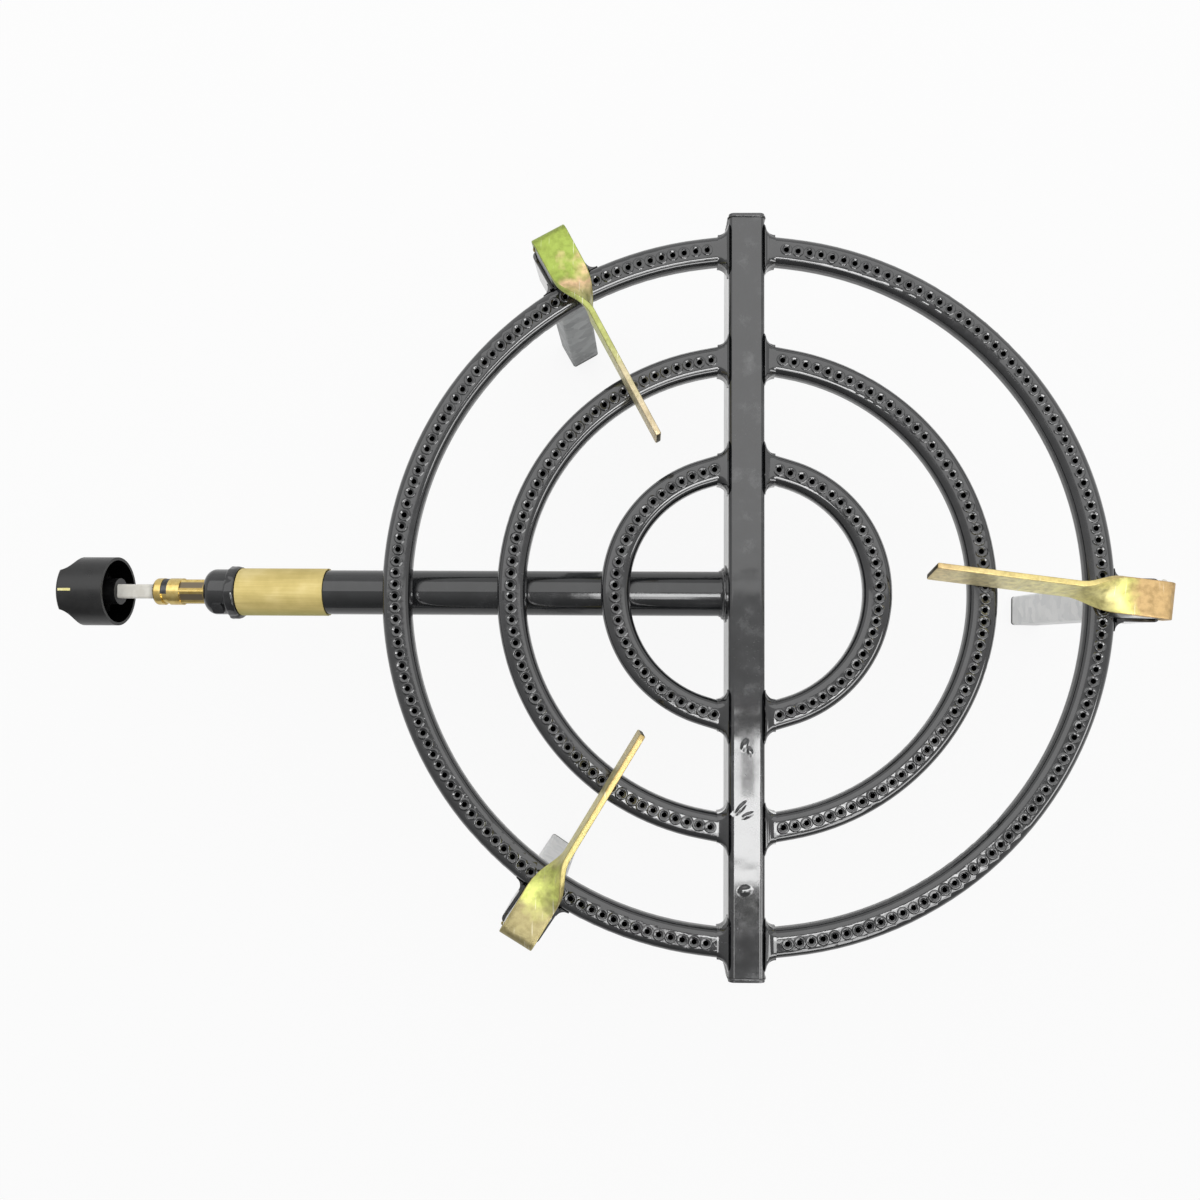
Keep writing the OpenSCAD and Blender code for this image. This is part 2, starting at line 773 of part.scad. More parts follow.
module tap_plug() {
  slot_depth = tongue_len + push_travel + spindle_clear;
  color(brass)
    on_inlet_axis()
      difference() {
        plug_cone(0);
        translate([0, 0, plug_inner_u - cut])
          cylinder(d = gas_way_d, h = gas_port_u - plug_inner_u + gas_way_d / 2 + cut);
        translate([0, 0, gas_port_u])
          rotate([-90, 0, 0])
            cylinder(d = gas_way_d, h = plug_d);
        translate([0, 0, plug_outer_u - slot_depth / 2 + cut / 2])
          cube([tongue_w + 2 * tongue_clear, tongue_t + 2 * tongue_clear, slot_depth + cut], center = true);
      }
}

// Compression spring as one tube along a helix
module tap_spring() {
  sides = 6;
  steps = 10;
  wire_r = spring_wire_d / 2;
  height = spindle_inner_u - plug_outer_u - 2 * seat_clear - spring_wire_d;
  count = spring_turns * steps;
  points = [
    for (i = [0:count], j = [0:sides - 1])
      let (a = 360 * i / steps, b = 360 * j / sides, r = spring_r + wire_r * cos(b))
        [r * cos(a), r * sin(a), height * i / count + wire_r * sin(b)]
  ];
  walls = [
    for (i = [0:count - 1], j = [0:sides - 1])
      let (k = (j + 1) % sides)
        each [
          [i * sides + j, (i + 1) * sides + k, (i + 1) * sides + j],
          [i * sides + j, i * sides + k, (i + 1) * sides + k]
        ]
  ];
  ends = [
    for (j = [1:sides - 2])
      each [[0, j + 1, j], [count * sides, count * sides + j, count * sides + j + 1]]
  ];
  color(steel)
    on_inlet_axis()
      translate([0, 0, plug_outer_u + seat_clear + wire_r])
        polyhedron(points, concat(walls, ends));
}

module spindle() {
  color(nylon)
    on_inlet_axis() {
      translate([0, 0, tongue_u])
        linear_extrude(shank_u - tongue_u)
          square([tongue_w, tongue_t], center = true);
      translate([0, 0, shank_u])
        cylinder(d = shank_d, h = spindle_inner_u - shank_u);
      translate([0, 0, spindle_inner_u])
        linear_extrude(rim_u - knob_hub_proud - spindle_inner_u)
          rounded_rect(spindle_w, spindle_w, spindle_edge_r);
      translate([0, 0, rim_u - knob_hub_proud])
        linear_extrude(spindle_tip_u - rim_u + knob_hub_proud)
          square(spindle_tip_w, center = true);
    }
}

module pointer_bar(gap) {
  translate([knob_d / 2 - pointer_depth, -pointer_w / 2 - gap, knob_front_u - pointer_len - gap])
    cube([
      pointer_depth + (gap > 0 ? cut : -pointer_clear),
      pointer_w + 2 * gap,
      pointer_len - knob_edge_r + 2 * gap
    ]);
}

// Hollow for a finger in the knob's side, which runs out to the front
module finger_scoop() {
  translate([-knob_d, scoop_y, scoop_u])
    rotate([90, 0, 90])
      linear_extrude(2 * knob_d)
        circle(knob_scoop_r);
}

module knob() {
  color(black_plastic)
    on_inlet_axis()
      difference() {
        union() {
          difference() {
            translate([0, 0, rim_u])
              rotate_extrude()
                rounded_bar_profile(knob_d / 2, knob_depth, knob_edge_r);
            translate([0, 0, rim_u - cut])
              cylinder(r = knob_d / 2 - knob_wall, h = knob_hollow + cut);
            for (side = [0, 1])
              mirror([0, side, 0])
                finger_scoop();
          }
          translate([0, 0, rim_u - knob_hub_proud])
            cylinder(d = knob_hub_d, h = knob_hollow + knob_hub_proud + cut);
        }
        translate([0, 0, rim_u - knob_hub_proud - cut])
          linear_extrude(spindle_tip_u - rim_u + knob_hub_proud + cut + seat_clear)
            square(spindle_tip_w + 2 * seat_clear, center = true);
        pointer_bar(pointer_clear);
      }
}

module knob_pointer() {
  color("#e2d03a")
    on_inlet_axis()
      pointer_bar(0);
}

// Channel that holds a leg against the outer ring
module leg_socket(leg) {
  weld_h = ring_tube_h - socket_drop - 2 * weld_inset;
  arms_in = socket_t;
  color(enamel)
    difference() {
      at_leg(leg)
        union() {
          translate([0, 0, socket_top_z - socket_h])
            linear_extrude(socket_h)
              difference() {
                translate([(socket_out - leg_w / 2) / 2, 0])
                  rounded_rect(socket_out + leg_w / 2, 2 * socket_half_w, socket_bend_r);
                translate([(socket_in - leg_w) / 2, 0])
                  rounded_rect(socket_in + leg_w, 2 * (socket_half_w - socket_t), socket_bend_r - socket_t);
                translate([-leg_w, -leg_w])
                  square([leg_w - arms_in, 2 * leg_w]);
              }
          for (side = [0, 1])
            mirror([0, side, 0])
              translate([-weld_bite, socket_half_w, socket_top_z - weld_inset - weld_h])
                linear_extrude(weld_h) {
                  weld_corner(socket_weld_r);
                  translate([0, -socket_t / 2])
                    square([socket_weld_r + weld_lip, socket_t / 2]);
                }
        }
      in_frame()
        translate([ring_shift_side(leg_angles[leg]), 0, 0])
          cylinder(d = outer_ring_d + seat_clear, h = ring_top_z + cut, $fn = 180);
      at_leg(leg)
        translate([socket_in - cut, 0, screw_z])
          rotate([0, 90, 0])
            cylinder(d = screw_d + 2 * screw_clear, h = socket_t + 2 * cut);
    }
}

module leg_socket_right() { leg_socket(RIGHT); }
module leg_socket_back() { leg_socket(BACK); }
module leg_socket_front() { leg_socket(FRONT); }

module leg_tube(leg) {
  color(galvanised)
    at_leg(leg)
      translate([leg_gap + leg_w / 2, 0, foot_t])
        linear_extrude(strap_bottom_z - foot_t)
          tube_section(leg_w, leg_w, leg_corner_r, leg_wall);
}

module leg_tube_right() { leg_tube(RIGHT); }
module leg_tube_back() { leg_tube(BACK); }
module leg_tube_front() { leg_tube(FRONT); }

module foot_plug(leg) {
  plug_w = leg_w - 2 * leg_wall - 2 * seat_clear;
  color(black_plastic)
    at_leg(leg)
      translate([leg_gap + leg_w / 2, 0, 0]) {
        linear_extrude(foot_t)
          rounded_rect(leg_w, leg_w, leg_corner_r);
        translate([0, 0, foot_t])
          linear_extrude(foot_plug_h)
            difference() {
              rounded_rect(plug_w, plug_w, leg_corner_r - leg_wall);
              square(plug_w - 2 * foot_wall, center = true);
            }
      }
}

module foot_plug_right() { foot_plug(RIGHT); }
module foot_plug_back() { foot_plug(BACK); }
module foot_plug_front() { foot_plug(FRONT); }

// Stations along a flat bar: [x, z, pitch, roll]. The bar climbs the leg's outer side, bends inwards,
// runs flat, turns on edge along a smooth twist and ends in an upright blade.
strap_bend_steps = 6;
strap_twist_steps = 18;
strap_flat_steps = 4;
function smooth_step(s) = s * s * (3 - 2 * s);
function strap_stations(twist) =
  let (
    outer_x = leg_out + strap_t,
    bend_x = leg_out - strap_bend_r,
    bend_z = strap_bottom_z - strap_bend_r,
    bend_mid_r = strap_bend_r + strap_t / 2,
    twist_x = outer_x - strap_flat_len
  )
  concat(
    [[leg_out + strap_t / 2, ring_top_z + strap_tail_rise, 0, 0]],
    [
      for (i = [0:strap_bend_steps])
        let (pitch = 90 * i / strap_bend_steps)
          [bend_x + bend_mid_r * cos(pitch), bend_z + bend_mid_r * sin(pitch), pitch, 0]
    ],
    [
      for (i = [0:strap_twist_steps])
        let (s = i / strap_twist_steps)
          [twist_x - strap_twist_len * s, strap_z, 90, twist * smooth_step(s)]
    ],
    [[twist_x - strap_twist_len - strap_blade_len, strap_z, 90, twist]]
  );

// Outline of the flat bar's section: along one wide face and back along the other
function strap_section() = concat(
  [for (j = [0:strap_flat_steps]) [strap_w * (j / strap_flat_steps - 0.5), strap_t / 2]],
  [for (j = [0:strap_flat_steps]) [strap_w * (0.5 - j / strap_flat_steps), -strap_t / 2]]
);

function strap_point(station, p) =
  let (
    across = p[0] * cos(station[3]) - p[1] * sin(station[3]),
    out = p[0] * sin(station[3]) + p[1] * cos(station[3])
  )
  [station[0] + out * cos(station[2]), across, station[1] + out * sin(station[2])];

module strap(twist) {
  section = strap_section();
  stations = strap_stations(twist);
  sides = len(section);
  last = len(stations) - 1;
  points = [for (station = stations, p = section) strap_point(station, p)];
  walls = [
    for (i = [0:last - 1], j = [0:sides - 1])
      let (k = (j + 1) % sides)
        each [
          [i * sides + j, (i + 1) * sides + j, (i + 1) * sides + k],
          [i * sides + j, (i + 1) * sides + k, i * sides + k]
        ]
  ];
  ends = [
    for (j = [0:strap_flat_steps - 1])
      let (near = sides - 1 - j, top = last * sides)
        each [
          [j, j + 1, near],
          [j + 1, near - 1, near],
          [top + j, top + near, top + j + 1],
          [top + j + 1, top + near, top + near - 1]
        ]
  ];
  polyhedron(points, concat(walls, ends));
}

module pan_support(leg) {
  middle = leg_gap + leg_w / 2;
  color(yellow_zinc)
    at_leg(leg)
      difference() {
        translate([middle, 0, 0])
          rotate([0, 0, strap_skew_angles[leg]])
            translate([-middle, 0, 0])
              strap(strap_twist_angles[leg]);
        translate([leg_gap, -leg_w, 0])
          cube([leg_w, 2 * leg_w, strap_bottom_z]);
      }
}

module pan_support_right() { pan_support(RIGHT); }
module pan_support_back() { pan_support(BACK); }
module pan_support_front() { pan_support(FRONT); }

module hexagon_bar(h) {
  cylinder(r = hex_reach, h = h, $fn = 6);
}

module clamp_screws() {
  color(steel)
    for (leg = LEGS)
      at_leg(leg)
        translate([0, 0, screw_z])
          rotate([0, 90, 0]) {
            translate([0, 0, leg_out + seat_clear])
              cylinder(d = screw_d, h = screw_head_x - leg_out - seat_clear);
            translate([0, 0, screw_head_x])
              hexagon_bar(screw_head_h);
          }
}

module clamp_nuts() {
  color(steel)
    for (leg = LEGS)
      at_leg(leg)
        translate([socket_out, 0, screw_z])
          rotate([0, 90, 0])
            difference() {
              hexagon_bar(nut_h);
              translate([0, 0, -cut])
                cylinder(d = screw_d + 2 * seat_clear, h = nut_h + 2 * cut);
            }
}

manifold_tube();
manifold_end_caps();
outer_ring_left();
outer_ring_right();
middle_ring_left();
middle_ring_right();
inner_ring_left();
inner_ring_right();
inlet_tube();
end_collar();
air_sleeve();
gas_jet();
tap_body();
tap_clip();
hose_tail();
tap_plug();
tap_spring();
spindle();
knob();
knob_pointer();
leg_socket_right();
leg_socket_back();
leg_socket_front();
leg_tube_right();
leg_tube_back();
leg_tube_front();
foot_plug_right();
foot_plug_back();
foot_plug_front();
pan_support_right();
pan_support_back();
pan_support_front();
clamp_screws();
clamp_nuts();
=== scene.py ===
"""Looks of the paella burner: finishes, weld and paint detail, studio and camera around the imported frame."""

import logging
import math
import random
from dataclasses import dataclass, field, replace
from enum import Enum
from typing import Any, Callable, Iterable, Optional, Protocol, Sequence

import bpy
from mathutils import Euler, Matrix, Vector


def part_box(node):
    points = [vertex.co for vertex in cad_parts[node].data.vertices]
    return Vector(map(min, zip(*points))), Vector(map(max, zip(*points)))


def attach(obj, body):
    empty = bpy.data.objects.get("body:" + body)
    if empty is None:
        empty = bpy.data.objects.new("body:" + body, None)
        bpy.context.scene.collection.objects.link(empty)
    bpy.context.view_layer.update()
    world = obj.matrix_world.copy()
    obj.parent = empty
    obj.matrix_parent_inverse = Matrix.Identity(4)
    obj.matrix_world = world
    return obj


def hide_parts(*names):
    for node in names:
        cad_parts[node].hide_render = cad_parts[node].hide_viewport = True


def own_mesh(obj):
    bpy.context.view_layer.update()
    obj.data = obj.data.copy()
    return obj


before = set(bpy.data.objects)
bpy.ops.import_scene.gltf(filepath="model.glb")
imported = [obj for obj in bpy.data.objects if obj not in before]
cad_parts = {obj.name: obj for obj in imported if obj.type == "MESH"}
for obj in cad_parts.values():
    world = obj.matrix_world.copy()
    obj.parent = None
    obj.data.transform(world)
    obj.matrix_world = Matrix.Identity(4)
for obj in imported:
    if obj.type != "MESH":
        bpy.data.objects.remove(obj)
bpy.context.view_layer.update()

LOG = logging.getLogger("paella_burner")
MM = 0.001
# Shift from the middle of the rings, where the manifold lies, to the part's origin
ORIGIN_X = sum(corner.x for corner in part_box("manifold_tube")) / 2 / MM
# Height of the ring tops and of the axis of the mixing tube, the tap and the knob
RING_TOP = 205.0
INLET_Z = 173.0
# Half the level width of a ring's top, and the radius of its edges
RING_LEVEL = 4.0
RING_EDGE_R = 6.0
# Sides of a weld bead, its least radius and the most that a lump adds, as shares of the usual radius
BEAD_SIDES = 8
BEAD_LEAST = 0.82
BEAD_LUMP = 0.36

Point = tuple[float, float, float]
Row = list[Point]
Span = tuple[float, float]
Stops = Sequence[tuple[float, str]]
Socket = bpy.types.NodeSocket


class Leg(Enum):
    """The three legs, each with its angle, strap twist and strap skew in degrees."""

    RIGHT = ("right", -1.0, 76.0, -6.0)
    BACK = ("back", 119.5, 90.0, -1.2)
    FRONT = ("front", 236.3, 85.0, 2.6)

    @property
    def label(self) -> str:
        """Word that ends the names of this leg's pieces."""
        return self.value[0]

    @property
    def angle(self) -> float:
        """Angle of the leg round the rings, in radians."""
        return math.radians(self.value[1])

    @property
    def twist(self) -> float:
        """Angle by which the strap turns on edge, in radians."""
        return math.radians(self.value[2])

    @property
    def skew(self) -> float:
        """Angle by which the strap is turned on its leg, in radians."""
        return math.radians(self.value[3])


class Half(Enum):
    """The two halves of a ring, with the sign of their x direction."""

    LEFT = ("left", -1.0)
    RIGHT = ("right", 1.0)

    @property
    def label(self) -> str:
        """Word that ends the names of this half's pieces."""
        return self.value[0]

    @property
    def sign(self) -> float:
        """Sign of the half's x direction."""
        return self.value[1]


def linear(colour: str) -> tuple[float, float, float, float]:
    """Turn an sRGB hex colour into linear RGBA.

    Args:
        colour: Colour as "#rrggbb".

    Returns:
        Linear red, green, blue and an alpha of 1.
    """
    parts = [int(colour[i:i + 2], 16) / 255 for i in (1, 3, 5)]
    red, green, blue = (c / 12.92 if c <= 0.04045 else ((c + 0.055) / 1.055) ** 2.4 for c in parts)
    return red, green, blue, 1.0


def per_metre(size_mm: float) -> float:
    """Texture scale that makes a pattern's features about size_mm wide."""
    return 1.0 / (size_mm * MM)


def add_node(
    tree: bpy.types.NodeTree,
    kind: str,
    inputs: Optional[dict[Any, Any]] = None,
    stops: Stops = (),
    **settings: Any,
) -> bpy.types.Node:
    """Add one shader node with its settings and links.

    Args:
        tree: Node tree that takes the node.
        kind: Blender's name for the node type.
        inputs: Input name or index to an output socket, which is linked, or to a value.
        stops: Positions and sRGB colours of a colour ramp.
        settings: Properties of the node itself.

    Returns:
        The new node.
    """
    node = tree.nodes.new(kind)
    for name, value in settings.items():
        setattr(node, name, value)
    for key, value in (inputs or {}).items():
        if isinstance(value, Socket):
            tree.links.new(value, node.inputs[key])
        else:
            node.inputs[key].default_value = value
    for index, (position, colour) in enumerate(stops):
        elements = node.color_ramp.elements
        element = elements[index] if index < len(elements) else elements.new(position)
        element.position = position
        element.color = linear(colour)
    return node


def blank_material(name: str) -> tuple[bpy.types.Material, bpy.types.NodeTree, Socket]:
    """Start a node material with only its output.

    Args:
        name: Name of the material.

    Returns:
        The material, its node tree and the output's surface socket.
    """
    material = bpy.data.materials.new(name)
    material.use_nodes = True
    tree = material.node_tree
    tree.nodes.clear()
    output = add_node(tree, "ShaderNodeOutputMaterial")
    return material, tree, output.inputs["Surface"]


def upward(tree: bpy.types.NodeTree) -> Socket:
    """How far a face looks up: 1 for a level top and 0 for a wall."""
    facing = add_node(tree, "ShaderNodeNewGeometry").outputs["Normal"]
    return add_node(tree, "ShaderNodeSeparateXYZ", {"Vector": facing}).outputs["Z"]


def from_inlet(tree: bpy.types.NodeTree, axis: bpy.types.Node) -> Socket:
    """Distance from the inlet's axis, in metres.

    Args:
        tree: The material's node tree.
        axis: Node that gives the place along x, y and z.

    Returns:
        The distance.
    """
    across = add_node(tree, "ShaderNodeCombineXYZ", {"Y": axis.outputs["Y"], "Z": axis.outputs["Z"]})
    reach = add_node(tree, "ShaderNodeVectorMath", {
        0: across.outputs[0], 1: (0.0, 0.0, INLET_Z * MM)}, operation="DISTANCE")
    return reach.outputs["Value"]


def soot_over(tree: bpy.types.NodeTree, clean: Socket, where: Socket, colour: str) -> Socket:
    """Lay a near-black matt coat over a part of a surface, as painted shade.

    Args:
        tree: The material's node tree.
        clean: Shader of the rest.
        where: 1 where the painted shade lies and 0 elsewhere.
        colour: Colour of the painted shade.

    Returns:
        The shader of both.
    """
    soot = add_node(tree, "ShaderNodeBsdfDiffuse", {"Color": linear(colour), "Roughness": 1.0})
    both = add_node(tree, "ShaderNodeMixShader", {0: where, 1: clean, 2: soot.outputs["BSDF"]})
    return both.outputs[0]


class Finish(Protocol):
    """What each finish has: the name of its material and the way to make it."""

    @property
    def name(self) -> str:
        """Name of the material."""

    def build(self) -> bpy.types.Material:
        """Make the material."""


@dataclass(frozen=True)
class CharcoalEnamel:
    """Air-drying charcoal enamel, dipped over welded steel tube."""

    name: str = "charcoal_enamel_paint"
    deep: str = "#151617"
    body: str = "#1d1e20"
    dusty: str = "#2d2e2f"
    chip: str = "#5d5e60"
    # Near-black of the painted shade inside the tube, which also stands for soot on the bare steel
    soot: str = "#0c0b0a"
    sag_mm: float = 26.0
    sag_strength: float = 0.3
    peel_mm: float = 2.4
    mottle_mm: float = 15.0
    scuff_mm: float = 1.6
    patch_mm: float = 48.0
    wrinkle_mm: float = 5.0
    wrinkle_depth_mm: float = 0.0
    # Direction, front and left, in which the wrinkles grow
    wrinkle_lean: Point = (-2.0, -4.2, 0.0)
    gloss: float = 0.9
    # Height below which a face that looks up is the bare inside of a tube, darkened with painted shade
    bare_below_mm: float = 0.0

    def build(self) -> bpy.types.Material:
        """Make the material."""
        # A thick glossy film: soft sags bend the reflections, orange peel blurs them, dull scuffs break them
        material, tree, surface = blank_material(self.name)
        place = add_node(tree, "ShaderNodeTexCoord").outputs["Object"]
        sag = add_node(tree, "ShaderNodeTexNoise", {
            "Vector": place, "Scale": per_metre(self.sag_mm), "Detail": 1.5})
        peel = add_node(tree, "ShaderNodeTexNoise", {
            "Vector": place, "Scale": per_metre(self.peel_mm), "Detail": 2.0})
        mottle = add_node(tree, "ShaderNodeTexNoise", {
            "Vector": place, "Scale": per_metre(self.mottle_mm), "Detail": 6.0, "Roughness": 0.62})
        colour = add_node(tree, "ShaderNodeValToRGB", {"Fac": mottle.outputs["Fac"]},
                          stops=((0.34, self.deep), (0.56, self.body), (0.78, self.dusty)))
        fleck = add_node(tree, "ShaderNodeTexNoise", {
            "Vector": place, "Scale": per_metre(self.scuff_mm), "Detail": 3.0, "Roughness": 0.7})
        patch = add_node(tree, "ShaderNodeTexNoise", {
            "Vector": place, "Scale": per_metre(self.patch_mm), "Detail": 2.0})
        flecks = add_node(tree, "ShaderNodeMapRange", {
            "Value": fleck.outputs["Fac"], "From Min": 0.64, "From Max": 0.70})
        patches = add_node(tree, "ShaderNodeMapRange", {
            "Value": patch.outputs["Fac"], "From Min": 0.52, "From Max": 0.66, "To Max": 0.75})
        scuff = add_node(tree, "ShaderNodeMath", {
            0: flecks.outputs[0], 1: patches.outputs[0]}, operation="MULTIPLY")
        paint = add_node(tree, "ShaderNodeMix", {
            "Factor": scuff.outputs[0], 6: colour.outputs["Color"], 7: linear(self.chip)}, data_type="RGBA")
        gloss = add_node(tree, "ShaderNodeMapRange", {
            "Value": mottle.outputs["Fac"], "From Min": 0.3, "From Max": 0.75,
            "To Min": 0.07, "To Max": 0.18})
        rough = add_node(tree, "ShaderNodeMath", {
            0: scuff.outputs[0], 1: 0.3, 2: gloss.outputs[0]}, operation="MULTIPLY_ADD")
        sags = add_node(tree, "ShaderNodeBump", {
            "Strength": self.sag_strength, "Distance": 1.0 * MM, "Height": sag.outputs["Fac"]})
        skin = add_node(tree, "ShaderNodeBump", {
            "Strength": 0.15, "Distance": 0.06 * MM, "Height": peel.outputs["Fac"],
            "Normal": sags.outputs["Normal"]})
        normal = skin.outputs["Normal"]
        if self.wrinkle_depth_mm:
            normal = self.wrinkles(tree, place, normal)
        shader = add_node(tree, "ShaderNodeBsdfPrincipled", {
            "Base Color": paint.outputs[2], "Roughness": rough.outputs[0], "Normal": normal,
            "Coat Weight": self.gloss, "Coat Roughness": 0.04})
        skin_out = shader.outputs["BSDF"]
        # Painted shade inside the tube, seen through the ports, also standing for soot on the bare steel
        if self.bare_below_mm:
            skin_out = self.bare_inside(tree, place, skin_out)
        tree.links.new(skin_out, surface)
        return material

    def bare_inside(self, tree: bpy.types.NodeTree, place: Socket, painted: Socket) -> Socket:
        """Darken the inside of the tube with painted shade, a near-black matt coat that also stands for its
        sooty bare steel.

        Args:
            tree: The material's node tree.
            place: Coordinates in metres.
            painted: Shader of the painted outside.

        Returns:
            The shader of both.
        """
        height = add_node(tree, "ShaderNodeSeparateXYZ", {"Vector": place})
        low = add_node(tree, "ShaderNodeMath", {
            0: height.outputs["Z"], 1: self.bare_below_mm * MM}, operation="LESS_THAN")
        up = add_node(tree, "ShaderNodeMath", {0: upward(tree), 1: 0.05}, operation="GREATER_THAN")
        inside = add_node(tree, "ShaderNodeMath", {0: low.outputs[0], 1: up.outputs[0]}, operation="MULTIPLY")
        return soot_over(tree, painted, inside.outputs[0], self.soot)

    def wrinkles(self, tree: bpy.types.NodeTree, place: Socket, normal: Socket) -> Socket:
        """Wrinkle the film where the paint ran together, at the front and left of the rings.

        Args:
            tree: The material's node tree.
            place: Coordinates in metres.
            normal: Normal of the film without wrinkles.

        Returns:
            The wrinkled normal.
        """
        folds = add_node(tree, "ShaderNodeTexNoise", {
            "Vector": place, "Scale": per_metre(self.wrinkle_mm), "Detail": 0.6, "Distortion": 0.8})
        lean = add_node(tree, "ShaderNodeVectorMath", {
            0: place, 1: self.wrinkle_lean}, operation="DOT_PRODUCT")
        share = add_node(tree, "ShaderNodeMapRange", {
            "Value": lean.outputs["Value"], "From Min": -0.25, "From Max": 0.65})
        level = add_node(tree, "ShaderNodeMapRange", {
            "Value": upward(tree), "From Min": 0.93, "From Max": 0.995})
        where = add_node(tree, "ShaderNodeMath", {
            0: share.outputs[0], 1: level.outputs[0]}, operation="MULTIPLY")
        height = add_node(tree, "ShaderNodeMath", {
            0: folds.outputs["Fac"], 1: where.outputs[0]}, operation="MULTIPLY")
        bump = add_node(tree, "ShaderNodeBump", {
            "Strength": 1.0, "Distance": self.wrinkle_depth_mm * MM, "Height": height.outputs[0],
            "Normal": normal})
        return bump.outputs["Normal"]


@dataclass(frozen=True)
class YellowZinc:
    """Rolled steel strap, zinc plated and yellow passivated."""

    name: str
    tones: Stops
    bare: str = "#e9e5d4"
    cloud_mm: float = 20.0
    bloom_mm: float = 4.5
    grain_mm: float = 0.9
    scratch_mm: float = 1.1
    shine: float = 0.7

    def build(self) -> bpy.types.Material:
        """Make the material."""
        # The passivation drifts between lime, straw and peach along the bar; bare metal shows in scratches
        material, tree, surface = blank_material(self.name)
        place = add_node(tree, "ShaderNodeTexCoord").outputs["Object"]
        along = add_node(tree, "ShaderNodeAttribute", attribute_name="along")
        cloud = add_node(tree, "ShaderNodeTexNoise", {
            "Vector": place, "Scale": per_metre(self.cloud_mm), "Detail": 3.0})
        drift = add_node(tree, "ShaderNodeMapRange", {
            "Value": cloud.outputs["Fac"], "From Min": 0.25, "From Max": 0.75,
            "To Min": -0.09, "To Max": 0.09})
        zone = add_node(tree, "ShaderNodeMath", {
            0: along.outputs["Fac"], 1: drift.outputs[0]}, operation="ADD")
        tone = add_node(tree, "ShaderNodeValToRGB", {"Fac": zone.outputs[0]}, stops=self.tones)
        bloom = add_node(tree, "ShaderNodeTexNoise", {
            "Vector": place, "Scale": per_metre(self.bloom_mm), "Detail": 5.0, "Roughness": 0.6})
        shade = add_node(tree, "ShaderNodeValToRGB", {"Fac": bloom.outputs["Fac"]},
                         stops=((0.3, "#c3bfb4"), (0.6, "#ffffff")))
        plated = add_node(tree, "ShaderNodeMix", {
            "Factor": 0.75, 6: tone.outputs["Color"], 7: shade.outputs["Color"]},
            data_type="RGBA", blend_type="MULTIPLY")
        slant = add_node(tree, "ShaderNodeMapping", {
            "Vector": place, "Rotation": (0.3, 0.5, 0.9), "Scale": (1.0, 0.06, 0.06)})
        scratch = add_node(tree, "ShaderNodeTexNoise", {
            "Vector": slant.outputs["Vector"], "Scale": per_metre(self.scratch_mm), "Detail": 2.0})
        marks = add_node(tree, "ShaderNodeMapRange", {
            "Value": scratch.outputs["Fac"], "From Min": 0.66, "From Max": 0.72, "To Max": 0.55})
        finish = add_node(tree, "ShaderNodeMix", {
            "Factor": marks.outputs[0], 6: plated.outputs[2], 7: linear(self.bare)}, data_type="RGBA")
        rough = add_node(tree, "ShaderNodeMapRange", {
            "Value": bloom.outputs["Fac"], "From Min": 0.3, "From Max": 0.7, "To Min": 0.34, "To Max": 0.5})
        grain = add_node(tree, "ShaderNodeTexNoise", {
            "Vector": place, "Scale": per_metre(self.grain_mm), "Detail": 2.0})
        waves = add_node(tree, "ShaderNodeBump", {
            "Strength": 0.3, "Distance": 0.35 * MM, "Height": cloud.outputs["Fac"]})
        skin = add_node(tree, "ShaderNodeBump", {
            "Strength": 0.2, "Distance": 0.05 * MM, "Height": grain.outputs["Fac"],
            "Normal": waves.outputs["Normal"]})
        shader = add_node(tree, "ShaderNodeBsdfPrincipled", {
            "Base Color": finish.outputs[2], "Metallic": self.shine, "Roughness": rough.outputs[0],
            "Normal": skin.outputs["Normal"]})
        tree.links.new(shader.outputs["BSDF"], surface)
        return material


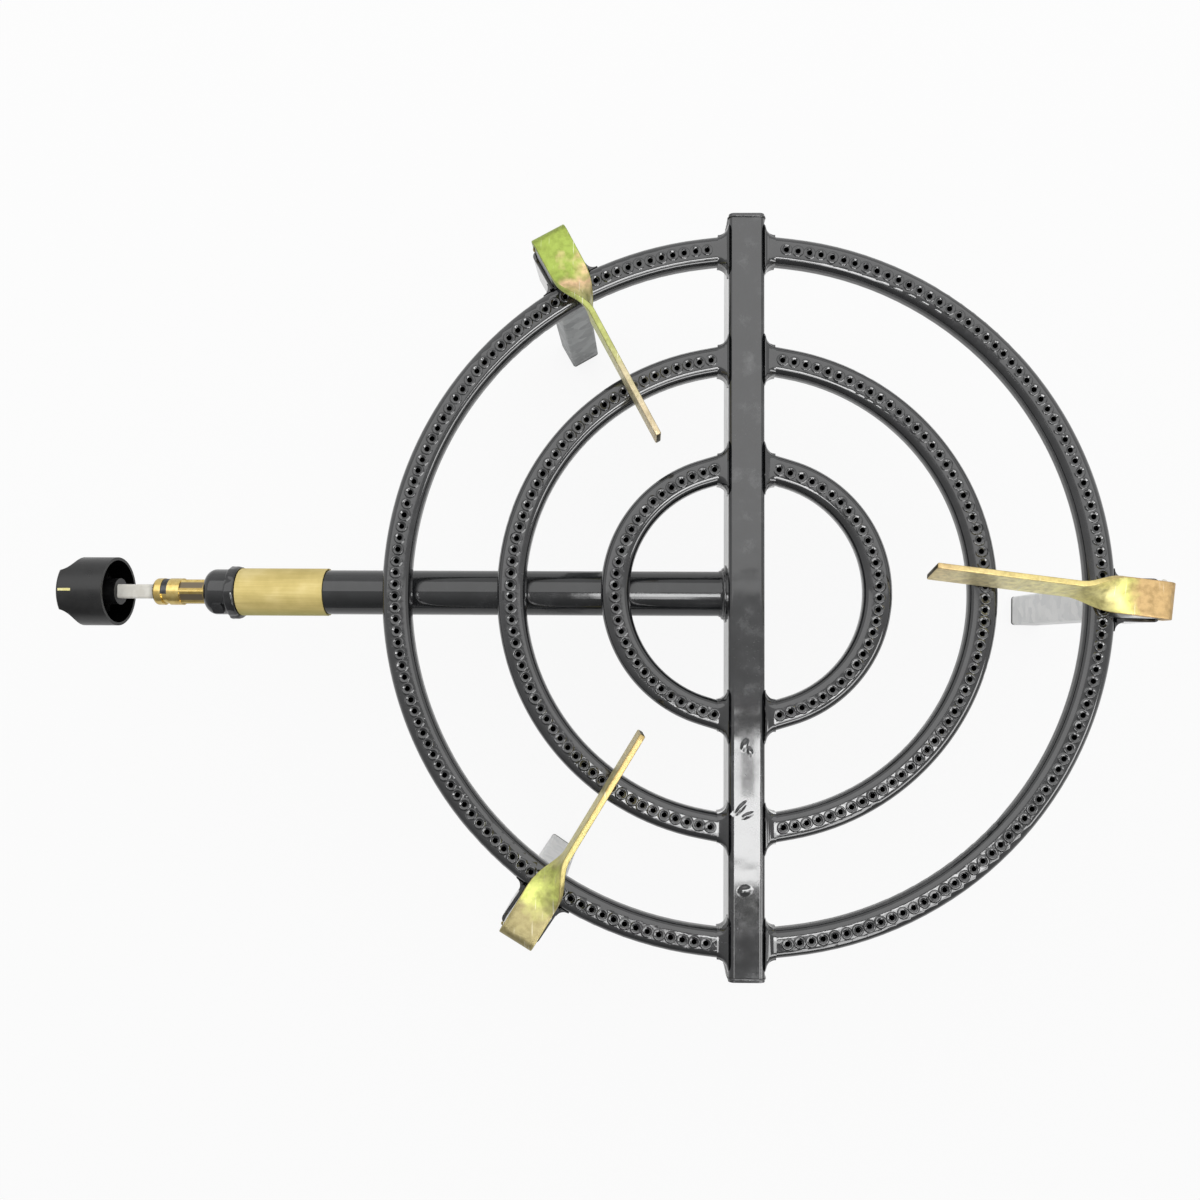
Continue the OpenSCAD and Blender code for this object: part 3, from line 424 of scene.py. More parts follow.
@dataclass(frozen=True)
class BrushedZincSheet:
    """Yellow passivated zinc sheet, rolled and rubbed lengthwise by use."""

    name: str = "yellow_zinc_rolled_sheet"
    low: str = "#c3b06c"
    mid: str = "#d0bd7a"
    high: str = "#dccb8e"
    # Olive of the painted shade along the front edge
    green: str = "#9a9853"
    brush_mm: float = 0.9
    stroke_mm: float = 34.0
    cloud_mm: float = 16.0
    # Where the painted shade along the front edge, in olive, is full and where it ends, across the sleeve
    green_y: Span = (-16.5, -12.0)
    shine: float = 0.45

    def build(self) -> bpy.types.Material:
        """Make the material."""
        # Long faint strokes from sliding, with painted shade in olive along the front edge, where the sleeve
        # turns away
        material, tree, surface = blank_material(self.name)
        place = add_node(tree, "ShaderNodeTexCoord").outputs["Object"]
        long, fine = per_metre(self.stroke_mm), per_metre(self.brush_mm)
        stretched = add_node(tree, "ShaderNodeMapping", {"Vector": place, "Scale": (long, fine, fine)})
        brush = add_node(tree, "ShaderNodeTexNoise", {
            "Vector": stretched.outputs["Vector"], "Scale": 1.0, "Detail": 4.0})
        cloud = add_node(tree, "ShaderNodeTexNoise", {
            "Vector": place, "Scale": per_metre(self.cloud_mm), "Detail": 3.0})
        both = add_node(tree, "ShaderNodeMix", {
            "Factor": 0.6, 2: brush.outputs["Fac"], 3: cloud.outputs["Fac"]}, data_type="FLOAT")
        tone = add_node(tree, "ShaderNodeValToRGB", {"Fac": both.outputs[0]},
                        stops=((0.36, self.low), (0.5, self.mid), (0.64, self.high)))
        axis = add_node(tree, "ShaderNodeSeparateXYZ", {"Vector": place})
        # Painted shade, in olive, along the sleeve's front edge
        full, end = (y * MM for y in self.green_y)
        edge = add_node(tree, "ShaderNodeMapRange", {
            "Value": axis.outputs["Y"], "From Min": full, "From Max": end, "To Min": 0.7, "To Max": 0.0})
        finish = add_node(tree, "ShaderNodeMix", {
            "Factor": edge.outputs[0], 6: tone.outputs["Color"], 7: linear(self.green)}, data_type="RGBA")
        rough = add_node(tree, "ShaderNodeMapRange", {
            "Value": brush.outputs["Fac"], "From Min": 0.3, "From Max": 0.7, "To Min": 0.5, "To Max": 0.64})
        skin = add_node(tree, "ShaderNodeBump", {
            "Strength": 0.25, "Distance": 0.06 * MM, "Height": brush.outputs["Fac"]})
        shader = add_node(tree, "ShaderNodeBsdfPrincipled", {
            "Base Color": finish.outputs[2], "Metallic": self.shine, "Roughness": rough.outputs[0],
            "Normal": skin.outputs["Normal"]})
        tree.links.new(shader.outputs["BSDF"], surface)
        return material


@dataclass(frozen=True)
class TurnedBrass:
    """Free-cutting brass, turned, with a painted dark reflection on the hexagon's flats."""

    name: str = "turned_brass"
    bright: str = "#dcc582"
    body: str = "#c8ac66"
    # Colour of the painted dark reflection on the hexagon's flats
    dull: str = "#786e5e"
    mottle_mm: float = 5.0
    # Width of a turning ring, and its length before it fades
    turning_mm: Span = (0.7, 30.0)
    # Radius of the hexagon's corners, and how far in from them the painted dark reflection of the flats fades
    # out
    corner_r: float = 9.1
    rubbed: float = 0.25
    # Where the hexagon starts and ends along the inlet axis
    hex_u: Span = (387.6, 404.7)

    def build(self) -> bpy.types.Material:
        """Make the material."""
        # Fine turning rings on the round parts; the hexagon's flats darkened with a painted reflection,
        # between corners left bright
        material, tree, surface = blank_material(self.name)
        place = add_node(tree, "ShaderNodeTexCoord").outputs["Object"]
        axis = add_node(tree, "ShaderNodeSeparateXYZ", {"Vector": place})
        mottle = add_node(tree, "ShaderNodeTexNoise", {
            "Vector": place, "Scale": per_metre(self.mottle_mm), "Detail": 5.0})
        wide, long = (per_metre(size) for size in self.turning_mm)
        turning = add_node(tree, "ShaderNodeMapping", {"Vector": place, "Scale": (wide, long, long)})
        rings = add_node(tree, "ShaderNodeTexNoise", {
            "Vector": turning.outputs["Vector"], "Scale": 1.0, "Detail": 2.0})
        tone = add_node(tree, "ShaderNodeValToRGB", {"Fac": mottle.outputs["Fac"]},
                        stops=((0.35, self.body), (0.65, self.bright)))
        # Painted dark reflection on the hexagon's flats, fading out at the corners
        flat = add_node(tree, "ShaderNodeMapRange", {
            "Value": from_inlet(tree, axis), "From Min": (self.corner_r - self.rubbed) * MM,
            "From Max": self.corner_r * MM, "To Min": 1.0, "To Max": 0.0})
        near, far = ((ORIGIN_X - u) * MM for u in self.hex_u)
        after = add_node(tree, "ShaderNodeMath", {0: axis.outputs["X"], 1: far}, operation="GREATER_THAN")
        before = add_node(tree, "ShaderNodeMath", {0: axis.outputs["X"], 1: near}, operation="LESS_THAN")
        band = add_node(tree, "ShaderNodeMath", {
            0: after.outputs[0], 1: before.outputs[0]}, operation="MULTIPLY")
        painted_reflection = add_node(tree, "ShaderNodeMath", {
            0: band.outputs[0], 1: flat.outputs[0]}, operation="MULTIPLY")
        finish = add_node(tree, "ShaderNodeMix", {
            "Factor": painted_reflection.outputs[0], 6: tone.outputs["Color"], 7: linear(self.dull)}, data_type="RGBA")
        rough = add_node(tree, "ShaderNodeMapRange", {
            "Value": painted_reflection.outputs[0], "To Min": 0.24, "To Max": 0.42})
        skin = add_node(tree, "ShaderNodeBump", {
            "Strength": 0.25, "Distance": 0.05 * MM, "Height": rings.outputs["Fac"]})
        shader = add_node(tree, "ShaderNodeBsdfPrincipled", {
            "Base Color": finish.outputs[2], "Metallic": 1.0, "Roughness": rough.outputs[0],
            "Normal": skin.outputs["Normal"]})
        tree.links.new(shader.outputs["BSDF"], surface)
        return material


@dataclass(frozen=True)
class GalvanisedSteel:
    """Hot-dip galvanised steel tube."""

    name: str = "galvanised_steel"
    pale: str = "#a4a6a6"
    dark: str = "#8e9090"
    spangle_mm: float = 8.0
    feather_mm: float = 4.0
    metallic: float = 0.9

    def build(self) -> bpy.types.Material:
        """Make the material."""
        # Feathery zinc crystals of slightly different grey, dulled by white oxide
        material, tree, surface = blank_material(self.name)
        place = add_node(tree, "ShaderNodeTexCoord").outputs["Object"]
        warp = add_node(tree, "ShaderNodeTexNoise", {
            "Vector": place, "Scale": per_metre(self.feather_mm), "Detail": 3.0})
        bent = add_node(tree, "ShaderNodeMix", {
            "Factor": 0.004, 6: place, 7: warp.outputs["Color"]}, data_type="RGBA", blend_type="ADD")
        crystal = add_node(tree, "ShaderNodeTexVoronoi", {
            "Vector": bent.outputs[2], "Scale": per_metre(self.spangle_mm)})
        split = add_node(tree, "ShaderNodeSeparateColor", {"Color": crystal.outputs["Color"]})
        tone = add_node(tree, "ShaderNodeValToRGB", {"Fac": split.outputs["Red"]},
                        stops=((0.0, self.dark), (1.0, self.pale)))
        rough = add_node(tree, "ShaderNodeMapRange", {
            "Value": split.outputs["Green"], "To Min": 0.36, "To Max": 0.52})
        skin = add_node(tree, "ShaderNodeBump", {
            "Strength": 0.1, "Distance": 0.05 * MM, "Height": warp.outputs["Fac"]})
        shader = add_node(tree, "ShaderNodeBsdfPrincipled", {
            "Base Color": tone.outputs["Color"], "Metallic": self.metallic, "Roughness": rough.outputs[0],
            "Normal": skin.outputs["Normal"]})
        tree.links.new(shader.outputs["BSDF"], surface)
        return material


@dataclass(frozen=True)
class WornMetal:
    """Plain steel with a fine mottle, such as bright zinc, spring steel or a sheared edge."""

    name: str
    low: str
    high: str
    roughness: Span
    mottle_mm: float = 3.0

    def build(self) -> bpy.types.Material:
        """Make the material."""
        # Small light and dark patches from handling, with no clear direction
        material, tree, surface = blank_material(self.name)
        place = add_node(tree, "ShaderNodeTexCoord").outputs["Object"]
        mottle = add_node(tree, "ShaderNodeTexNoise", {
            "Vector": place, "Scale": per_metre(self.mottle_mm), "Detail": 5.0, "Roughness": 0.6})
        tone = add_node(tree, "ShaderNodeValToRGB", {"Fac": mottle.outputs["Fac"]},
                        stops=((0.35, self.low), (0.68, self.high)))
        rough = add_node(tree, "ShaderNodeMapRange", {
            "Value": mottle.outputs["Fac"], "From Min": 0.3, "From Max": 0.7,
            "To Min": self.roughness[0], "To Max": self.roughness[1]})
        skin = add_node(tree, "ShaderNodeBump", {
            "Strength": 0.25, "Distance": 0.05 * MM, "Height": mottle.outputs["Fac"]})
        shader = add_node(tree, "ShaderNodeBsdfPrincipled", {
            "Base Color": tone.outputs["Color"], "Metallic": 1.0, "Roughness": rough.outputs[0],
            "Normal": skin.outputs["Normal"]})
        tree.links.new(shader.outputs["BSDF"], surface)
        return material


@dataclass(frozen=True)
class MouldedPlastic:
    """Moulded thermoplastic with a fine satin grain."""

    name: str
    body: str
    dust: str
    roughness: Span
    grain_mm: float = 0.7
    grain_depth_mm: float = 0.04
    wipe_mm: float = 9.0
    # Inner and outer radius of the painted shade in the hollow round the knob's axis, and the x where it ends
    hollow_r: Span = (0.0, 0.0)
    hollow_end_x: float = 0.0
    # Near-black of the painted shade in the knob's hollow
    soot: str = "#060606"

    def build(self) -> bpy.types.Material:
        """Make the material."""
        # A satin skin whose grain spreads the highlights, with a little dust wiped over it
        material, tree, surface = blank_material(self.name)
        place = add_node(tree, "ShaderNodeTexCoord").outputs["Object"]
        grain = add_node(tree, "ShaderNodeTexNoise", {
            "Vector": place, "Scale": per_metre(self.grain_mm), "Detail": 2.0})
        wipe = add_node(tree, "ShaderNodeTexNoise", {
            "Vector": place, "Scale": per_metre(self.wipe_mm), "Detail": 5.0, "Roughness": 0.6})
        tone = add_node(tree, "ShaderNodeValToRGB", {"Fac": wipe.outputs["Fac"]},
                        stops=((0.42, self.body), (0.8, self.dust)))
        rough = add_node(tree, "ShaderNodeMapRange", {
            "Value": wipe.outputs["Fac"], "From Min": 0.3, "From Max": 0.7,
            "To Min": self.roughness[0], "To Max": self.roughness[1]})
        skin = add_node(tree, "ShaderNodeBump", {
            "Strength": 0.3, "Distance": self.grain_depth_mm * MM, "Height": grain.outputs["Fac"]})
        shader = add_node(tree, "ShaderNodeBsdfPrincipled", {
            "Base Color": tone.outputs["Color"], "Roughness": rough.outputs[0],
            "Normal": skin.outputs["Normal"]})
        skin_out = shader.outputs["BSDF"]
        # The knob's hollow gets painted shade
        if self.hollow_end_x:
            skin_out = self.dark_hollow(tree, place, skin_out)
        tree.links.new(skin_out, surface)
        return material

    def dark_hollow(self, tree: bpy.types.NodeTree, place: Socket, clean: Socket) -> Socket:
        """Darken the hollow round the hub with painted shade, a near-black matt coat.

        Args:
            tree: The material's node tree.
            place: Coordinates in metres.
            clean: Shader of the handled outside.

        Returns:
            The shader of both.
        """
        axis = add_node(tree, "ShaderNodeSeparateXYZ", {"Vector": place})
        reach = from_inlet(tree, axis)
        hub_r, wall_r = (r * MM for r in self.hollow_r)
        past_hub = add_node(tree, "ShaderNodeMath", {0: reach, 1: hub_r}, operation="GREATER_THAN")
        in_wall = add_node(tree, "ShaderNodeMath", {0: reach, 1: wall_r}, operation="LESS_THAN")
        open_side = add_node(tree, "ShaderNodeMath", {
            0: axis.outputs["X"], 1: self.hollow_end_x * MM}, operation="GREATER_THAN")
        ring = add_node(tree, "ShaderNodeMath", {
            0: past_hub.outputs[0], 1: in_wall.outputs[0]}, operation="MULTIPLY")
        hollow = add_node(tree, "ShaderNodeMath", {
            0: ring.outputs[0], 1: open_side.outputs[0]}, operation="MULTIPLY")
        return soot_over(tree, clean, hollow.outputs[0], self.soot)


@dataclass(frozen=True)
class GreasedNylon:
    """White extruded nylon bar that turns grey at its inner end, by the tap."""

    name: str = "white_nylon"
    body: str = "#e2e0d8"
    shade: str = "#d2cfc6"
    grease: str = "#8d8c85"
    cloud_mm: float = 7.0
    # Where the grey ends and is full along the inlet axis
    smear_u: Span = (428.6, 424.6)
    # How far red, green and blue light go in under the surface
    milky_mm: Point = (1.5, 1.4, 1.2)

    def build(self) -> bpy.types.Material:
        """Make the material."""
        # Milky white with soft edges, turning grey where it enters the tap
        material, tree, surface = blank_material(self.name)
        place = add_node(tree, "ShaderNodeTexCoord").outputs["Object"]
        cloud = add_node(tree, "ShaderNodeTexNoise", {
            "Vector": place, "Scale": per_metre(self.cloud_mm), "Detail": 3.0})
        tone = add_node(tree, "ShaderNodeValToRGB", {"Fac": cloud.outputs["Fac"]},
                        stops=((0.35, self.shade), (0.6, self.body)))
        axis = add_node(tree, "ShaderNodeSeparateXYZ", {"Vector": place})
        clear, full = ((ORIGIN_X - u) * MM for u in self.smear_u)
        greying = add_node(tree, "ShaderNodeMapRange", {
            "Value": axis.outputs["X"], "From Min": clear, "From Max": full, "To Max": 0.8})
        finish = add_node(tree, "ShaderNodeMix", {
            "Factor": greying.outputs[0], 6: tone.outputs["Color"], 7: linear(self.grease)}, data_type="RGBA")
        skin = add_node(tree, "ShaderNodeBump", {
            "Strength": 0.2, "Distance": 0.08 * MM, "Height": cloud.outputs["Fac"]})
        shader = add_node(tree, "ShaderNodeBsdfPrincipled", {
            "Base Color": finish.outputs[2], "Roughness": 0.4, "Normal": skin.outputs["Normal"],
            "Subsurface Weight": 0.2, "Subsurface Radius": tuple(d * MM for d in self.milky_mm),
            "Subsurface Scale": 1.0})
        tree.links.new(shader.outputs["BSDF"], surface)
        return material


ENAMEL = CharcoalEnamel()
RING_ENAMEL = CharcoalEnamel("charcoal_enamel_wrinkled_paint", wrinkle_depth_mm=0.45, bare_below_mm=197.5)
MANIFOLD_ENAMEL = CharcoalEnamel(
    "charcoal_enamel_sagged_paint", dusty="#4c4d4e", sag_mm=22.0, sag_strength=0.6)
TUBE_ENAMEL = CharcoalEnamel("charcoal_enamel_thin_paint", gloss=0.4)
BRASS = TurnedBrass()
SHEET = BrushedZincSheet()
GALVANISED = GalvanisedSteel()
# Near-white copy of the galvanised steel, with little metal, for the right and front legs: painted light that
# makes them brighter than the back leg in plain grey
LIT_GALVANISED = GalvanisedSteel("galvanised_steel_painted_light", "#f2f2f1", "#e2e3e3", metallic=0.15)
LEG_FINISH = {Leg.RIGHT: LIT_GALVANISED, Leg.BACK: GALVANISED, Leg.FRONT: LIT_GALVANISED}
NYLON = GreasedNylon()
BLACK_PLASTIC = MouldedPlastic("black_moulded_plastic", "#0e0e0f", "#1a1a1a", (0.26, 0.38))
# Depth of the knob's hollow from its open end, with a hair more so that the floor of the hollow is in the
# painted shade
KNOB_HOLLOW = 18.2
KNOB_PLASTIC = replace(
    BLACK_PLASTIC, name="black_moulded_plastic_knob", hollow_r=(9.7, 22.6),
    hollow_end_x=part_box("knob")[1].x / MM - KNOB_HOLLOW)
POINTER_PAINT = MouldedPlastic("pale_yellow_line_paint", "#e6dc8f", "#efe9b8", (0.4, 0.55), grain_mm=1.2)
SPRING_STEEL = WornMetal("dark_spring_steel", "#3a3a3b", "#5c5d5f", (0.3, 0.45))
ZINC_STEEL = WornMetal("bright_zinc_steel", "#9a9da0", "#c0c3c5", (0.26, 0.42))
SHEARED_STEEL = WornMetal("sheared_strap_end", "#3b3629", "#6d6650", (0.4, 0.6), mottle_mm=1.5)
ZINC_WELD = YellowZinc("yellow_zinc_weld", ((0.0, "#a99a5a"), (1.0, "#c4b676")))
# Passivation along the straps' wide faces and along their edges, from the tail at the leg to the tip
STRAP_TONES: dict[Leg, Stops] = {
    Leg.RIGHT: ((0.0, "#a5a562"), (0.05, "#c4a573"), (0.17, "#c4a573"), (0.25, "#d2d07a"), (0.36, "#ece29a"),
                (0.5, "#fbf4b8"), (0.75, "#faf0c0"), (1.0, "#efdcae")),
    Leg.BACK: ((0.0, "#94a24c"), (0.1, "#9aac50"), (0.22, "#9cae52"), (0.28, "#ecc9a0"), (0.32, "#e2cb98"),
               (0.37, "#c9c686"), (0.5, "#d0d48e"), (0.75, "#dcd4aa"), (1.0, "#d8c8a4")),
    Leg.FRONT: ((0.0, "#8f8658"), (0.1, "#a4996e"), (0.2, "#a89d70"), (0.3, "#d8e07e"), (0.42, "#d4cc8a"),
                (0.55, "#e2d99c"), (0.8, "#e4d9a4"), (1.0, "#d8c896")),
}
EDGE_TONES: dict[Leg, Stops] = {
    Leg.RIGHT: ((0.0, "#c4a573"), (0.2, "#c4a573"), (0.4, "#d9c883"), (0.75, "#dbc888"), (1.0, "#d2b886")),
    Leg.BACK: ((0.0, "#9aac50"), (0.25, "#a3b05a"), (0.5, "#afb56c"), (0.65, "#b4b678"), (0.8, "#ccbe9e"),
               (1.0, "#c6b694")),
    Leg.FRONT: ((0.0, "#a4996e"), (0.25, "#b8ac6e"), (0.55, "#bfb275"), (0.8, "#c7ae72"), (1.0, "#bfa872")),
}


class FinishBook:
    """Keeps one Blender material for each finish."""

    def __init__(self) -> None:
        """Start with no materials."""
        self._made: dict[str, bpy.types.Material] = {}

    def get(self, finish: Finish) -> bpy.types.Material:
        """Give the finish's material, made once.

        Args:
            finish: The finish.

        Returns:
            The Blender material.
        """
        if finish.name not in self._made:
            self._made[finish.name] = finish.build()
        return self._made[finish.name]

    def dress(self, node: str, finish: Finish) -> None:
        """Give a CAD node its finish through its material slots.

        Args:
            node: Name of the CAD node.
            finish: Finish that it gets.
        """
        material = self.get(finish)
        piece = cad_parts[node]
        if not piece.material_slots:
            piece.data.materials.append(material)
        for slot in piece.material_slots:
            slot.link = "OBJECT"
            slot.material = material
        LOG.info("dressed %s in %s", node, finish.name)


FINISHES = FinishBook()


def in_frame(point: Point) -> Point:
    """Turn millimetres from the middle of the rings into the frame's metres."""
    x, y, z = point
    return (x + ORIGIN_X) * MM, y * MM, z * MM


@dataclass
class MeshDraft:
    """Vertices in millimetres from the middle of the rings, and the faces between them."""

    points: list[Point] = field(default_factory=list)
    faces: list[tuple[int, ...]] = field(default_factory=list)
    # Place of each vertex along its strap, from 0 to 1, and the finishes of faces other than the first finish
    along: list[float] = field(default_factory=list)
    face_finish: dict[int, int] = field(default_factory=dict)

    def add(self, points: Iterable[Point], faces: Iterable[Sequence[int]]) -> None:
        """Add a patch.

        Args:
            points: The patch's vertices.
            faces: Its faces, counted from its own first vertex.
        """
        start = len(self.points)
        self.points.extend(points)
        self.faces.extend(tuple(start + i for i in face) for face in faces)

    def add_grid(self, rows: Sequence[Sequence[Point]], wrap: bool = True) -> None:
        """Add a sheet of quads through rows of points.

        Args:
            rows: Rows of equal length.
            wrap: Whether each row closes on itself.
        """
        width = len(rows[0])
        faces = []
        for here in range(0, (len(rows) - 1) * width, width):
            there = here + width
            for j in range(width if wrap else width - 1):
                k = (j + 1) % width
                faces.append((here + j, here + k, there + k, there + j))
        self.add((p for row in rows for p in row), faces)

    def piece(self, name: str, body: str, slot: str, finishes: Sequence[Finish]) -> bpy.types.Object:
        """Turn the draft into a piece that rides on a body.

        Args:
            name: Name of the piece.
            body: CAD body that carries it.
            slot: Name of a material slot; not used.
            finishes: Finishes in the order of the faces' numbers.

        Returns:
            The new object.
        """
        mesh = bpy.data.meshes.new(name)
        mesh.from_pydata([in_frame(point) for point in self.points], [], self.faces)
        mesh.polygons.foreach_set("use_smooth", [True] * len(mesh.polygons))
        for index, number in self.face_finish.items():
            mesh.polygons[index].material_index = number
        if self.along:
            attribute = mesh.attributes.new("along", "FLOAT", "POINT")
            attribute.data.foreach_set("value", self.along)
        for finish in finishes:
            mesh.materials.append(FINISHES.get(finish))
        mesh.update()
        piece = bpy.data.objects.new(name, mesh)
        bpy.context.scene.collection.objects.link(piece)
        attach(piece, body)
        LOG.info("made %s on %s with %d faces", name, body, len(self.faces))
        return piece


def ring_drop(distance: float) -> float:
    """How far a ring's top has fallen at a distance from its middle line."""
    past = min(max(abs(distance) - RING_LEVEL, 0.0), RING_EDGE_R)
    return RING_EDGE_R - math.sqrt(RING_EDGE_R ** 2 - past ** 2)


def weld_bead(path: Sequence[Point], radius: float, rng: random.Random, closed: bool = False) -> list[Row]:
    """Rows of points round an uneven weld bead.

    Args:
        path: Points along the seam.
        radius: Usual radius of the bead.
        rng: Seeded source of the bead's lumps.
        closed: Whether the seam closes on itself.

    Returns:
        One ring of points for each point of the path.
    """
    count = len(path)
    angles = [2 * math.pi * k / BEAD_SIDES for k in range(BEAD_SIDES)]
    rows: list[Row] = []
    for i, here in enumerate(path):
        before = path[i - 1] if closed or i else here
        after = path[(i + 1) % count] if closed or i < count - 1 else here
        axis = (Vector(after) - Vector(before)).normalized()
        upright = abs(axis.z) > 0.9
        side = (axis.orthogonal() if upright else axis.cross(Vector((0, 0, 1)))).normalized()
        up = side.cross(axis)
        # The open ends run out over two points
        taper = 1.0 if closed else min(1.0, 0.25 + 0.75 * min(i, count - 1 - i) / 2)
        ripple = radius * taper * (BEAD_LEAST + BEAD_LUMP * rng.random())
        middle = Vector(here)
        rows.append([tuple(middle + ripple * (math.cos(a) * side + math.sin(a) * up)) for a in angles])
    if closed:
        rows.append(rows[0])
    return rows


def paint_ridge(middle: Point, turn: float, half_len: float, half_w: float, height: float) -> list[Row]:
    """Rows of points over a low smooth ridge of paint on a level face.

    Args:
        middle: Middle of the ridge's foot.
        turn: Direction of its length, in radians.
        half_len: Half its length.
        half_w: Half its width.
        height: Its height.

    Returns:
        Rows of points across the ridge.
    """
    long_steps, cross_steps, sunk = 10, 8, 0.05
    rows: list[Row] = []
    for i in range(long_steps + 1):
        along = 2 * i / long_steps - 1
        row = []
        for j in range(cross_steps + 1):
            across = 2 * j / cross_steps - 1
            reach = min(1.0, math.hypot(along, across))
            lift = height * (0.5 + 0.5 * math.cos(math.pi * reach)) - sunk
            a, b = along * half_len, across * half_w
            row.append((middle[0] + a * math.cos(turn) - b * math.sin(turn),
                        middle[1] + a * math.sin(turn) + b * math.cos(turn), middle[2] + lift))
        rows.append(row)
    return rows


@dataclass
class HalfRing:
    """Sizes of one ring's half circles, as the CAD bends them."""

    label: str
    diameter: float
    shift: float
    tube_w: float = 20.0
    end_run: float = 18.0
    manifold_side: float = 12.5
    port_pitch: float = 8.1
    port_margin: float = 9.0

    @property
    def radius(self) -> float:
        """Radius of the tube's middle line."""
        return (self.diameter - self.tube_w) / 2

    @property
    def lean(self) -> float:
        """Angle by which the straight end leans, in radians."""
        reach = math.hypot(self.radius, self.end_run)
        return math.asin((self.manifold_side - self.shift) / reach) + math.atan(self.end_run / self.radius)

    @property
    def turn(self) -> float:
        """Angle of the bent stretch on each side of the crown, in radians."""
        return math.pi / 2 - self.lean

    @property
    def arc(self) -> float:
        """Length of the bent stretch on each side of the crown."""
        return self.radius * self.turn

    @property
    def bend_end(self) -> Span:
        """x and y where the right half's bend ends and its straight end starts, at the back."""
        return self.shift + self.radius * math.cos(self.turn), self.radius * math.sin(self.turn)

    def point(self, s: float) -> Span:
        """Point on the right half's middle line.

        Args:
            s: Distance from the crown.

        Returns:
            x and y from the middle of the rings.
        """
        run = abs(s) - self.arc
        if run <= 0:
            a = s / self.radius
            return self.shift + self.radius * math.cos(a), self.radius * math.sin(a)
        bend_x, bend_y = self.bend_end
        return bend_x - run * math.sin(self.turn), math.copysign(bend_y + run * math.cos(self.turn), s)

    def ports(self) -> list[Span]:
        """Middles of the right half's flame ports."""
        last = math.floor((self.arc + self.end_run - self.port_margin) / self.port_pitch - 0.5)
        return [self.point((i + 0.5) * self.port_pitch) for i in range(-last - 1, last + 1)]

    def end_y(self) -> float:
        """Y of the tube's middle line where it meets the manifold."""
        bend_x, bend_y = self.bend_end
        return bend_y + (bend_x - self.manifold_side) * math.tan(self.lean)


